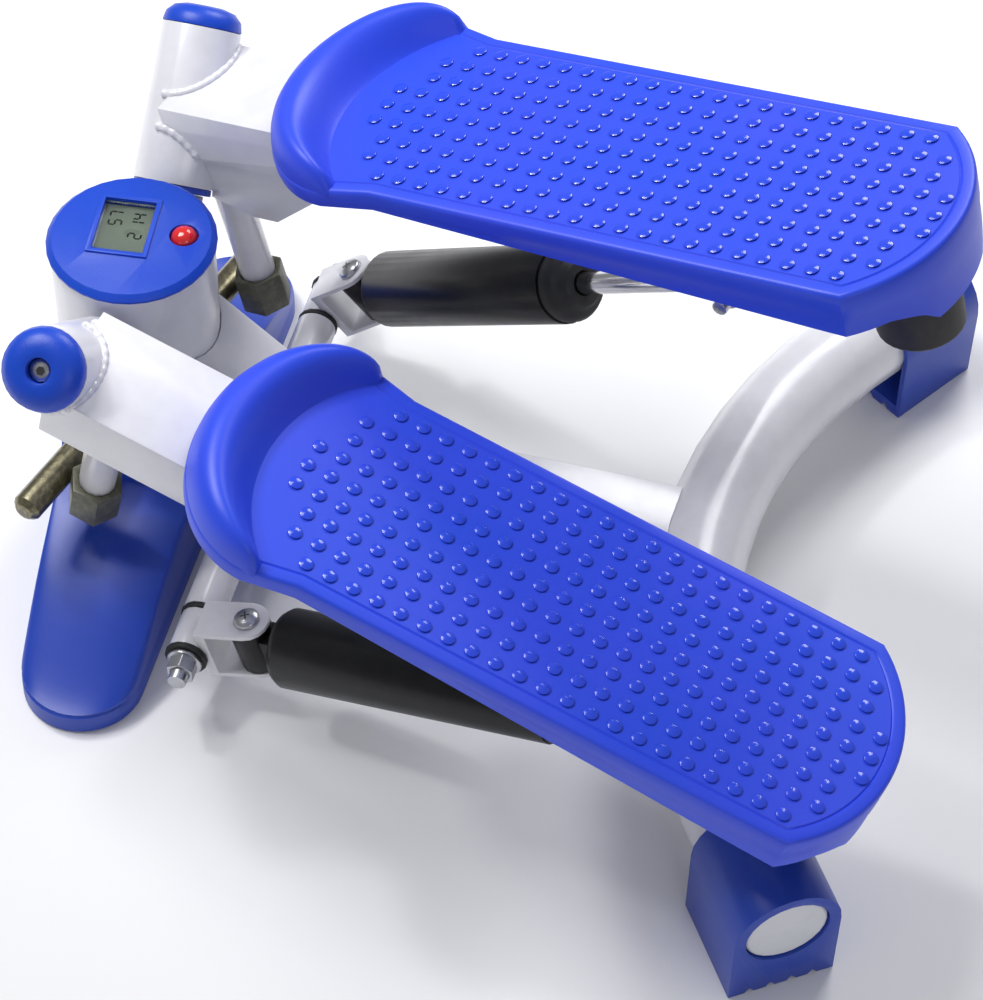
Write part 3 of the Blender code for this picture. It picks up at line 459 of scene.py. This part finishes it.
edgeWidths = {
    "post": 0.0004, "rear_tube": 0.0004, "centre_beam": 0.0022, "post_gusset": 0.0008,
    "axle_tube": 0.0004, "axle_rod": 0.0005, "rocker_bar": 0.0012,
    "monitor_housing": 0.0006, "reset_button": 0.0, "front_pad": 0.0008, "front_crossbar": 0.001,
    "rear_cap": 0.0014, "end_disc": 0.0008, "inner_ring": 0.0006, "outer_ring": 0.0006,
    "axle_nut": 0.0005, "pivot_axle": 0.0008, "cap_screw": 0.0004, "arm_frame": 0.0024,
    "sleeve_cap": 0.0006, "hex_block": 0.0011, "foot_bracket": 0.0004, "rod_bolt": 0.0005,
    "bumper": 0.0008, "clevis": 0.0007, "clevis_bolt": 0.0004, "damper_body": 0.0007,
    "damper_gland": 0.0005, "piston_rod": 0.0004,
}


ownFinish = {"monitor_housing": "disc_blue", "sleeve_cap": "disc_blue"}


def plainName(node):
    for label in sides:
        if node.startswith(label + "_"):
            return node[len(label) + 1:]
    return node


for nodeName in sorted(frame["nodes"]):
    if plainName(nodeName) in edgeWidths:
        softCopy(nodeName, edgeWidths[plainName(nodeName)])
print("edges rounded")


# Weld beads, where tubes meet

weld = dict(radius=0.0023, ripple=0.00016, ripplePitch=0.0052, endSize=0.45, endStep=0.2, merge=0.00002)


def makeBead(name, points, body, closed=False):
    # a rippled bead along a path, with round ends
    deselectAll()
    path = bpy.data.curves.new(name, "CURVE")
    path.dimensions = "3D"
    path.bevel_depth = weld["radius"]
    path.bevel_resolution = 3
    path.use_fill_caps = not closed
    spline = path.splines.new("POLY")
    spline.points.add(len(points) - 1)
    spline.use_cyclic_u = closed
    travel = 0.0
    for index, point in enumerate(points):
        if index:
            travel += (point - points[index - 1]).length
        swell = 1 + weld["ripple"] / weld["radius"] * math.sin(2 * math.pi * travel / weld["ripplePitch"])
        if not closed:
            fromEnd = min(index, len(points) - 1 - index)
            swell *= min(1.0, weld["endSize"] + fromEnd * weld["endStep"])
        spline.points[index].co = (*point, 1)
        spline.points[index].radius = swell
    bead = bpy.data.objects.new(name, path)
    bpy.context.scene.collection.objects.link(bead)
    makeActive(bead)
    bpy.ops.object.convert(target="MESH")
    bpy.ops.object.mode_set(mode="EDIT")
    bpy.ops.mesh.select_all(action="SELECT")
    bpy.ops.mesh.remove_doubles(threshold=weld["merge"])
    bpy.ops.mesh.normals_make_consistent(inside=False)
    bpy.ops.object.mode_set(mode="OBJECT")
    smooth(bead, 80)
    return finishPiece(bead, name, body, finishes["white_paint"])


def seamPoints(origin, axis, radius, planePoint, planeNormal, keep, steps=240):
    # where a round tube's skin crosses a flat face
    across = axis.orthogonal().normalized()
    other = axis.cross(across)
    points = []
    for step in range(steps + 1):
        angle = 2 * math.pi * step / steps
        spoke = origin + (across * math.cos(angle) + other * math.sin(angle)) * radius
        travel = (planePoint - spoke).dot(planeNormal) / axis.dot(planeNormal)
        point = spoke + axis * travel
        points.append(point if keep(point) else None)
    return longestRun(points)


def longestRun(points):
    # the longest unbroken stretch of a closed list
    first = next((index for index, point in enumerate(points) if point is None), None)
    if first is None:
        return points
    turned = points[first:] + points[:first]
    best, current = [], []
    for point in turned + [None]:
        if point is None:
            best = max(best, current, key=len)
            current = []
        elif not current or (point - current[-1]).length > 1e-7:
            current.append(point)
    return best


# Driver recesses in the screw heads, as thin dark inlays almost flush with the head: painted shade in
# place of cut hollows

recess = dict(length=0.0050, width=0.0011, depth=0.0010, hexRadius=0.0026)


def headTop(node, axis):
    # the head's highest point along its axis
    corners = [vertex.co for vertex in frame["nodes"][node].data.vertices]
    reach = max(corner.dot(axis) for corner in corners)
    tip = [corner for corner in corners if reach - corner.dot(axis) < 0.0006]
    centre = sum(tip, Vector()) / len(tip)
    return centre + axis * (reach - centre.dot(axis))


def paintCrossRecessShade(name, node, axis, body):
    bars = []
    for turn in (0, 90):
        deselectAll()
        bpy.ops.mesh.primitive_cube_add(size=1)
        bar = bpy.context.object
        bar.scale = (recess["length"], recess["width"], recess["depth"])
        bar.rotation_euler = (0, 0, math.radians(turn + 20))
        settle(bar)
        bevelEdges(bar, recess["width"] * 0.25, 1)
        bars.append(bar)
    cross = joinPieces(bars, name)
    top = headTop(node, axis)
    turned = Vector((0, 0, 1)).rotation_difference(axis).to_matrix().to_4x4()
    settle(cross, Matrix.Translation(top - axis * recess["depth"] * 0.45) @ turned)
    # the near-black cross is painted shade for the Phillips recess, not a cut hollow
    finishPiece(cross, name, body, finishes["recess_painted_shade"])


def paintHexRecessShade(name, node, axis, body):
    deselectAll()
    bpy.ops.mesh.primitive_cylinder_add(vertices=6, radius=recess["hexRadius"], depth=recess["depth"])
    hexagon = bpy.context.object
    bevelEdges(hexagon, 0.0003, 1)
    top = headTop(node, axis)
    turned = Vector((0, 0, 1)).rotation_difference(axis).to_matrix().to_4x4()
    settle(hexagon, Matrix.Translation(top - axis * recess["depth"] * 0.40) @ turned)
    # the near-black hexagon is painted shade for the hex socket, not a cut hollow
    finishPiece(hexagon, name, body, finishes["recess_painted_shade"])


for label in sides:
    boltAxis = Vector(joints[label + "_damper_yaw"]["axis"]).normalized()
    paintCrossRecessShade(label + "_clevis_bolt_recess_shade", label + "_clevis_bolt", boltAxis, label + "_clevis_link")
    sleeveAxis = Vector(joints[label + "_arm_swing"]["axis"]).normalized()
    paintHexRecessShade(label + "_cap_screw_recess_shade", label + "_cap_screw", sleeveAxis, "base")
print("screw recesses made")


# Footplates

pedal = dict(
    centre=Vector((0.0867, -0.2794, 0.2338)), yaw=-2.4, pitch=-1.3, roll=1.6,
    halfWidth=0.063, heelCorner=-0.1325, heelEnd=-0.163, toeStart=0.140,
    toeCentre=0.150, toeHalfWidth=0.069, toeLength=0.0555, top=0.0012,
    skirtToe=-0.0092, skirtHeel=-0.0235, guardDepth=-0.038, guardHalf=0.026,
    wall=0.0032, notchHalf=0.0312, notchTop=-0.0056,
    lipCentre=0.0756, lipRadius=0.0894, lipHeight=0.0205,
    rimSteps=((0.0040, 0.0), (0.0004, -0.0004), (0.0005, -0.0003), (0.0004, 0.0003), (0.0004, 0.0004)),
    edgeSteps=((0.0012, 0.0009), (0.0004, 0.0002), (0.0, -0.0010), (0.0, -0.0045)),
    skirtSteps=((0.0, 0.35), (0.0006, 0.42), (0.0006, 1.0)),
    bumpPitch=0.0125, bumpRadius=0.0026, bumpHeight=0.00072, bumpFoot=0.0035,
)


def pedalPlace(side):
    joint = joints["right_arm_swing"]
    pivot = Vector(joint["pos_m"])
    half = math.radians(joint["range_deg"][1] / 2) * (-1 if side > 0 else 1)
    turned = Matrix.Rotation(half, 3, Vector(joint["axis"]))
    attitude = (
        Matrix.Rotation(math.radians(pedal["yaw"]), 3, "Z")
        @ Matrix.Rotation(math.radians(pedal["pitch"]), 3, "X")
        @ Matrix.Rotation(math.radians(pedal["roll"]), 3, "Y")
    )
    centre = pivot + turned @ (pedal["centre"] - pivot)
    rotation = turned @ attitude
    if side < 0:
        mirror = Matrix.Diagonal((-1, 1, 1))
        rotation = mirror @ rotation @ mirror
        centre.x = -centre.x
    return Matrix.Translation(centre) @ rotation.to_4x4()


def pedalOutline(inset):
    # round toe, straight sides and an arched heel, anticlockwise from the heel's left corner
    side = pedal["halfWidth"] - inset
    drop = pedal["heelCorner"] - pedal["heelEnd"]
    radius = (pedal["halfWidth"] ** 2 + drop ** 2) / (2 * drop)
    middle = pedal["heelEnd"] + radius
    points = []
    for step in range(33):
        x = side * (step / 16 - 1)
        points.append(Vector((x, middle - math.sqrt((radius - inset) ** 2 - x * x), 0)))
    for step in range(1, 16):
        corner = points[32].y
        points.append(Vector((side, corner + (pedal["toeStart"] - corner) * step / 16, 0)))
    toeSide = pedal["toeHalfWidth"] - inset
    for step in range(65):
        angle = math.pi * step / 64
        toeY = pedal["toeCentre"] + (pedal["toeLength"] - inset) * math.sin(angle)
        points.append(Vector((toeSide * math.cos(angle), toeY, 0)))
    for step in range(15, 0, -1):
        corner = points[0].y
        points.append(Vector((-side, corner + (pedal["toeStart"] - corner) * step / 16, 0)))
    return points


def skirtBottom(x, y):
    if y > pedal["toeStart"]:
        return pedal["notchTop"] if abs(x) < pedal["notchHalf"] else pedal["skirtToe"]
    share = (pedal["toeStart"] - y) / (pedal["toeStart"] + 0.130)
    level = pedal["skirtToe"] + (pedal["skirtHeel"] - pedal["skirtToe"]) * min(1.0, share)
    if y < -0.131:
        edge = abs(x)
        if edge < pedal["guardHalf"]:
            return pedal["guardDepth"]
        if edge < pedal["guardHalf"] + 0.018:
            fall = (edge - pedal["guardHalf"]) / 0.018
            return pedal["guardDepth"] + (-0.0245 - pedal["guardDepth"]) * math.sqrt(fall)
    return level


def moveRing(piece, before, after):
    # the selected rim follows the outline from one ring to the next
    mesh = bmesh.from_edit_mesh(piece.data)
    for vertex in mesh.verts:
        if vertex.select:
            index = min(range(len(before)), key=lambda k: (before[k] - vertex.co).length_squared)
            vertex.co = after[index]
    bmesh.update_edit_mesh(piece.data)


def makePlate():
    deselectAll()
    top = [point + Vector((0, 0, pedal["top"])) for point in pedalOutline(0.0022)]
    bpy.ops.mesh.primitive_circle_add(vertices=len(top), radius=0.05, fill_type="NOTHING")
    plate = bpy.context.object
    for vertex, point in zip(plate.data.vertices, top):
        vertex.co = point
    bpy.ops.object.mode_set(mode="EDIT")
    bpy.ops.mesh.select_all(action="SELECT")
    bpy.ops.mesh.edge_face_add()
    bpy.ops.mesh.select_all(action="SELECT")
    bpy.ops.mesh.normals_make_consistent(inside=False)
    for thickness, depth in pedal["rimSteps"]:
        bpy.ops.mesh.inset(thickness=thickness, depth=depth)
    bpy.ops.mesh.select_all(action="DESELECT")
    bpy.ops.mesh.select_mode(type="EDGE")
    bpy.ops.mesh.select_non_manifold(extend=False, use_wire=False, use_boundary=True,
                                     use_multi_face=False, use_non_contiguous=False, use_verts=False)
    ring = top
    for inset, level in pedal["edgeSteps"]:
        following = [point + Vector((0, 0, level)) for point in pedalOutline(inset)]
        bpy.ops.mesh.extrude_region()
        moveRing(plate, ring, following)
        ring = following
    wallTop = pedal["edgeSteps"][-1][1]
    for inset, share in pedal["skirtSteps"]:
        following = []
        for point in pedalOutline(inset):
            low = skirtBottom(point.x, point.y)
            following.append(Vector((point.x, point.y, wallTop + (low - wallTop) * share)))
        bpy.ops.mesh.extrude_region()
        moveRing(plate, ring, following)
        ring = following
    bpy.ops.mesh.select_all(action="SELECT")
    bpy.ops.mesh.normals_make_consistent(inside=False)
    bpy.ops.mesh.select_mode(type="VERT")
    bpy.ops.object.mode_set(mode="OBJECT")
    wall = plate.modifiers.new("wall", "SOLIDIFY")
    wall.thickness = pedal["wall"]
    wall.offset = -1.0
    wall.use_even_offset = False
    applyAll(plate)
    return plate


def makeLip():
    # the raised crescent in front of the toes: outer wall, round crest, hollow slope to the tread
    along, across = 56, 18
    deselectAll()
    bpy.ops.mesh.primitive_grid_add(x_subdivisions=along, y_subdivisions=across, size=1)
    lip = bpy.context.object
    crest = 0.34
    for vertex in lip.data.vertices:
        u, v = vertex.co.x + 0.5, vertex.co.y + 0.5
        angle = math.radians(-7 + 194 * u)
        reach, length = pedal["toeHalfWidth"] - 0.0004, pedal["toeLength"] - 0.0004
        outer = Vector((reach * math.cos(angle), pedal["toeCentre"] + length * math.sin(angle), 0))
        spread = math.radians(42.5 - 85 * u)
        innerY = pedal["lipCentre"] + pedal["lipRadius"] * math.cos(spread)
        inner = Vector((pedal["lipRadius"] * math.sin(spread), innerY, 0))
        taper = max(0.0, 1 - abs(2 * u - 1) ** 5) ** 0.5
        height = pedal["lipHeight"] * taper
        if v < crest:
            swing = math.pi / 2 * v / crest
            way = crest * (1 - math.cos(swing))
            rise = math.sin(swing)
        else:
            fall = (v - crest) / (1 - crest)
            way = v
            rise = 0.5 + 0.5 * math.cos(math.pi * fall ** 1.15)
        place = outer.lerp(inner, way)
        vertex.co = Vector((place.x, place.y, -0.001 + (height + 0.001) * rise))
    bpy.ops.object.mode_set(mode="EDIT")
    bpy.ops.mesh.select_all(action="DESELECT")
    bpy.ops.mesh.select_mode(type="EDGE")
    bpy.ops.mesh.select_non_manifold(extend=False, use_wire=False, use_boundary=True,
                                     use_multi_face=False, use_non_contiguous=False, use_verts=False)
    bpy.ops.mesh.edge_face_add()
    bpy.ops.mesh.select_all(action="SELECT")
    bpy.ops.mesh.remove_doubles(threshold=0.00005)
    bpy.ops.mesh.normals_make_consistent(inside=False)
    bpy.ops.mesh.select_mode(type="VERT")
    bpy.ops.object.mode_set(mode="OBJECT")
    return lip


def makeBump():
    deselectAll()
    bpy.ops.mesh.primitive_uv_sphere_add(segments=14, ring_count=10, radius=pedal["bumpRadius"])
    bump = bpy.context.object
    bpy.ops.object.mode_set(mode="EDIT")
    bpy.ops.mesh.select_all(action="SELECT")
    bpy.ops.mesh.bisect(plane_co=(0, 0, 0), plane_no=(0, 0, 1), use_fill=True, clear_inner=True)
    bpy.ops.mesh.select_all(action="SELECT")
    bpy.ops.transform.resize(value=(1, 1, pedal["bumpHeight"] / pedal["bumpRadius"]))
    bpy.ops.object.mode_set(mode="OBJECT")
    for vertex in bump.data.vertices:  # the foot flares softly into the tread
        reach = math.hypot(vertex.co.x, vertex.co.y) / pedal["bumpRadius"]
        if reach > 0.85:
            flare = 1 + (pedal["bumpFoot"] / pedal["bumpRadius"] - 1) * (reach - 0.85) / 0.15
            vertex.co.x *= flare
            vertex.co.y *= flare
    return bump


def bumpPlaces():
    places = []
    for row in range(-4, 5):
        extra = {4: 0, 3: 1, 2: 1}.get(abs(row), 2)
        for column in range(-10 - extra, 11 + extra):
            places.append((row * pedal["bumpPitch"], column * pedal["bumpPitch"]))
    return places


def makeTread(bump):
    copies = []
    for x, y in bumpPlaces():
        copy = bump.copy()
        copy.data = bump.data.copy()
        copy.location = (x, y, pedal["top"] - 0.0001)
        bpy.context.scene.collection.objects.link(copy)
        copies.append(copy)
    tread = joinPieces(copies, "tread")
    settle(tread)
    return tread


bump = makeBump()
for label, side in sides.items():
    place = pedalPlace(side)
    parts = {"plate": makePlate(), "toe_lip": makeLip(), "tread_bumps": makeTread(bump)}
    for partName, piece in parts.items():
        settle(piece, place)
        smooth(piece, 40 if partName != "tread_bumps" else 70)
        finish = finishes["tread_blue" if partName == "tread_bumps" else "blue_plastic"]
        finishPiece(piece, f"{label}_{partName}", f"{label}_arm", finish)
        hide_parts(f"{label}_footplate")
bpy.data.objects.remove(bump, do_unlink=True)
print("footplates made")

boxTube = dict(
    halfWidth=0.029, top=-0.0063, bottom=-0.0363, margin=0.0003,
    sleeveRadius=0.021, sleeveLength=0.082, pastRim=0.001, pastMiddle=0.002,
)


def onBoxTube(spot, rim, axis):
    # keeps seam points within the box tube's section, along the sleeve and behind its middle
    along = (spot - rim).dot(axis)
    inside = abs(spot.x) < boxTube["halfWidth"] + boxTube["margin"]
    inside = inside and boxTube["bottom"] < spot.z < boxTube["top"] + boxTube["margin"]
    inside = inside and -boxTube["sleeveLength"] < along < boxTube["pastRim"]
    return inside and spot.y < rim.y + boxTube["pastMiddle"]


for label, side in sides.items():
    place = pedalPlace(side)
    back = place.inverted()
    joint = joints[label + "_arm_swing"]
    axis = (back.to_3x3() @ Vector(joint["axis"])).normalized()
    rim = back @ Vector(joint["pos_m"])
    faces = {
        "top": (Vector((0, 0, boxTube["top"])), Vector((0, 0, 1))),
        "outer": (Vector((side * boxTube["halfWidth"], 0, 0)), Vector((1, 0, 0))),
        "inner": (Vector((-side * boxTube["halfWidth"], 0, 0)), Vector((1, 0, 0))),
    }
    for faceName, (point, normal) in faces.items():
        keep = partial(onBoxTube, rim=rim, axis=axis)
        seam = seamPoints(rim, axis, boxTube["sleeveRadius"], point, normal, keep)
        if len(seam) > 8:
            makeBead(f"{label}_{faceName}_weld", [place @ spot for spot in seam], label + "_arm")
print("weld beads made")


# Front cover

cover = dict(
    halfWidth=0.032, back=-0.0055, halfLength=0.169, rim=0.001, skirt=0.013,
    crown=0.058, collarRadius=0.0470, collarTop=0.075, wall=0.0022, points=168,
    beamHalf=0.0253, beamLow=0.0277,
)


def coverEdge(fraction):
    # a rectangle with round ends, bulging round the post
    half, width = cover["halfLength"], cover["halfWidth"]
    straight = 2 * (half - width)
    bend = math.pi * width
    way = (fraction % 1.0) * 2 * (straight + bend)
    if way < bend:
        angle = way / width - math.pi / 2
        x, across = straight / 2 + width * math.cos(angle), width * math.sin(angle)
    elif way < bend + straight:
        x, across = straight / 2 - (way - bend), width
    elif way < 2 * bend + straight:
        angle = (way - bend - straight) / width + math.pi / 2
        x, across = -straight / 2 + width * math.cos(angle), width * math.sin(angle)
    else:
        x, across = -straight / 2 + way - 2 * bend - straight, -width
    y = across + cover["back"]
    if abs(x) < cover["collarRadius"]:
        bulge = math.sqrt(cover["collarRadius"] ** 2 - x * x)
        y = max(y, bulge) if across > 0 else min(y, -bulge)
    return Vector((x, y, 0))


def coverHeight(x, share):
    shoulder = 0.045
    travel = max(0.0, abs(x) - shoulder) / (cover["halfLength"] - shoulder)
    crown = cover["crown"] - (cover["crown"] - cover["skirt"]) * min(1.0, travel) ** 1.8
    return cover["skirt"] + (crown - cover["skirt"]) * math.sqrt(1.0 - (1.0 - share) ** 2.6)


def coverRings():
    edge = [coverEdge((index + 0.5) / cover["points"]) for index in range(cover["points"])]
    rings = []
    skirtLevels = (cover["rim"], 1.0), (cover["skirt"] - 0.0015, 0.998), (cover["skirt"] - 0.0008, 0.992)
    for level, grow in skirtLevels:
        rings.append([Vector((p.x * grow, p.y * grow, level)) for p in edge])
    collar = []
    for p in edge:
        angle = math.atan2(p.y * cover["halfLength"] / cover["halfWidth"], p.x)
        collar.append(Vector((math.cos(angle), math.sin(angle), 0)) * cover["collarRadius"])
    for share in (0.012, 0.03, 0.07, 0.12, 0.20, 0.30, 0.42, 0.55, 0.68, 0.80, 0.90):
        ring = []
        for p, inner in zip(edge, collar):
            spot = p.lerp(inner, share)
            ring.append(Vector((spot.x, spot.y, coverHeight(spot.x, share))))
        rings.append(ring)
    top = cover["collarTop"]
    for level, grow in ((cover["crown"] + 0.002, 1.0), (top - 0.001, 1.0), (top, 0.990)):
        rings.append([Vector((p.x * grow, p.y * grow, level)) for p in collar])
    return rings


def makeCover():
    rings = coverRings()
    deselectAll()
    bpy.ops.mesh.primitive_circle_add(vertices=cover["points"], radius=0.05, fill_type="NOTHING")
    shell = bpy.context.object
    for vertex, point in zip(shell.data.vertices, rings[0]):
        vertex.co = point
    bpy.ops.object.mode_set(mode="EDIT")
    bpy.ops.mesh.select_all(action="SELECT")
    for before, after in zip(rings, rings[1:]):
        bpy.ops.mesh.extrude_region()
        moveRing(shell, before, after)
    bpy.ops.mesh.select_all(action="SELECT")
    bpy.ops.mesh.normals_make_consistent(inside=False)
    bpy.ops.object.mode_set(mode="OBJECT")
    wall = shell.modifiers.new("wall", "SOLIDIFY")
    wall.thickness = cover["wall"]
    wall.offset = -1.0
    applyAll(shell)
    deselectAll()
    bpy.ops.mesh.primitive_cube_add(size=1, location=(0, -0.055, cover["beamLow"] + 0.035))
    notch = bpy.context.object
    notch.scale = (2 * cover["beamHalf"], 0.05, 0.07)
    settle(notch)
    slot = shell.modifiers.new("slot", "BOOLEAN")
    slot.object = notch
    slot.solver = "MANIFOLD"
    applyAll(shell)
    bpy.data.objects.remove(notch, do_unlink=True)
    smooth(shell, 40)
    finishPiece(shell, "front_cover_shell", "base", finishes["dark_blue_plastic"])
    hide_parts("front_cover")


makeCover()
print("front cover made")


# Display digits

display = dict(turn=6.0, height=0.0066, width=0.0034, bar=0.00095, thick=0.00012)
segmentsOf = {"0": "abcdef", "1": "bc", "2": "abged", "3": "abgcd", "4": "fgbc", "5": "afgcd", "7": "abc"}


def makeBar(length, place, upright):
    deselectAll()
    across, along = (display["bar"], length) if upright else (length, display["bar"])
    size = (across, along, display["thick"])
    bpy.ops.mesh.primitive_cube_add(size=1, location=place)
    bar = bpy.context.object
    bar.scale = size
    settle(bar)
    bevelEdges(bar, display["bar"] * 0.3, 1)
    return bar


def makeDigit(digit, corner):
    width, half, gap = display["width"], display["height"] / 2, 0.0003
    spots = {
        "a": ((width / 2, 2 * half), False), "g": ((width / 2, half), False), "d": ((width / 2, 0), False),
        "f": ((0, 1.5 * half), True), "b": ((width, 1.5 * half), True),
        "e": ((0, 0.5 * half), True), "c": ((width, 0.5 * half), True),
    }
    bars = []
    for segment in segmentsOf[digit]:
        (x, y), upright = spots[segment]
        length = (half if upright else width) - 2 * gap
        bars.append(makeBar(length, corner + Vector((x, y, 0)), upright))
    return bars


def makeDigits():
    low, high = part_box("lcd_panel")
    middle = (low + high) / 2
    surface = high.z + display["thick"] / 2 + 0.00005
    bars = []
    shown = (
        ("5", 0.0040, 0.0030), ("7", 0.0096, 0.0030),
        ("2", -0.0040, -0.0088), ("1", 0.0040, -0.0088), ("4", 0.0096, -0.0088),
    )
    for digit, x, y in shown:
        bars += makeDigit(digit, Vector((x, y, 0)))
    digits = joinPieces(bars, "lcd_digits")
    turned = Matrix.Rotation(math.radians(display["turn"]), 4, "Z")
    settle(digits, Matrix.Translation((middle.x, middle.y, surface)) @ turned)
    finishPiece(digits, "lcd_digits", "base", finishes["digit_ink"])


makeDigits()
print("digits made")


# Floor, light and camera

stage = dict(
    floorSize=8, floorLevel=-0.0004, floorColour=(0.93, 0.93, 0.94, 1), floorRough=0.7,
    skyColour=(0.96, 0.97, 1.0, 1), skyStrength=0.30,
)
view = dict(
    place=(-1.0914, -0.4518, 1.4304), right=(0.2511, -0.9678, 0.0152), back=(-0.6134, -0.1470, 0.7760),
    lens=120.55, sensor=36,
)
# each lamp's place, what it points at, its size and its power
middle = (0, -0.2, 0.1)
lamps = {
    "keyLamp": ((0.15, 0.55, 1.75), middle, 0.75, 17),
    "leftSpot": ((-0.25, 0.95, 1.7), middle, 0.16, 5.5),
    "rightSpot": ((0.35, 0.85, 1.7), middle, 0.16, 5.5),
    "fillLamp": ((-1.3, -1.1, 0.9), middle, 0.6, 2.5),
    "backLamp": ((1.3, -0.5, 1.2), middle, 0.7, 14),
}


def makeStage():
    deselectAll()
    bpy.ops.mesh.primitive_plane_add(size=stage["floorSize"], location=(0, 0, stage["floorLevel"]))
    floor = bpy.context.object
    floor.name = "studio_floor"
    material = bpy.data.materials.new("studioFloor")
    material.use_nodes = True
    shader = material.node_tree.nodes["Principled BSDF"]
    shader.inputs["Base Color"].default_value = stage["floorColour"]
    shader.inputs["Roughness"].default_value = stage["floorRough"]
    floor.data.materials.append(material)
    world = bpy.data.worlds.new("studio")
    world.use_nodes = True
    world.node_tree.nodes["Background"].inputs["Color"].default_value = stage["skyColour"]
    world.node_tree.nodes["Background"].inputs["Strength"].default_value = stage["skyStrength"]
    bpy.context.scene.world = world


def addLamp(name, place, target, size, power):
    light = bpy.data.lights.new(name, "AREA")
    light.size = size
    light.energy = power
    lamp = bpy.data.objects.new(name, light)
    bpy.context.scene.collection.objects.link(lamp)
    lamp.location = place
    lamp.rotation_euler = (Vector(target) - Vector(place)).to_track_quat("-Z", "Y").to_euler()


def makeCamera():
    camera = bpy.data.objects.new("camera", bpy.data.cameras.new("camera"))
    bpy.context.scene.collection.objects.link(camera)
    right = Vector(view["right"])
    back = Vector(view["back"]).normalized()
    right = (right - back * right.dot(back)).normalized()
    up = back.cross(right)
    pose = Matrix((right, up, back)).transposed().to_4x4()
    pose.translation = Vector(view["place"])
    camera.matrix_world = pose
    camera.data.lens = view["lens"]
    camera.data.sensor_width = view["sensor"]
    bpy.context.scene.camera = camera


makeStage()
for lampName, lampValues in lamps.items():
    addLamp(lampName, *lampValues)
makeCamera()
bpy.context.scene.view_settings.view_transform = "Standard"
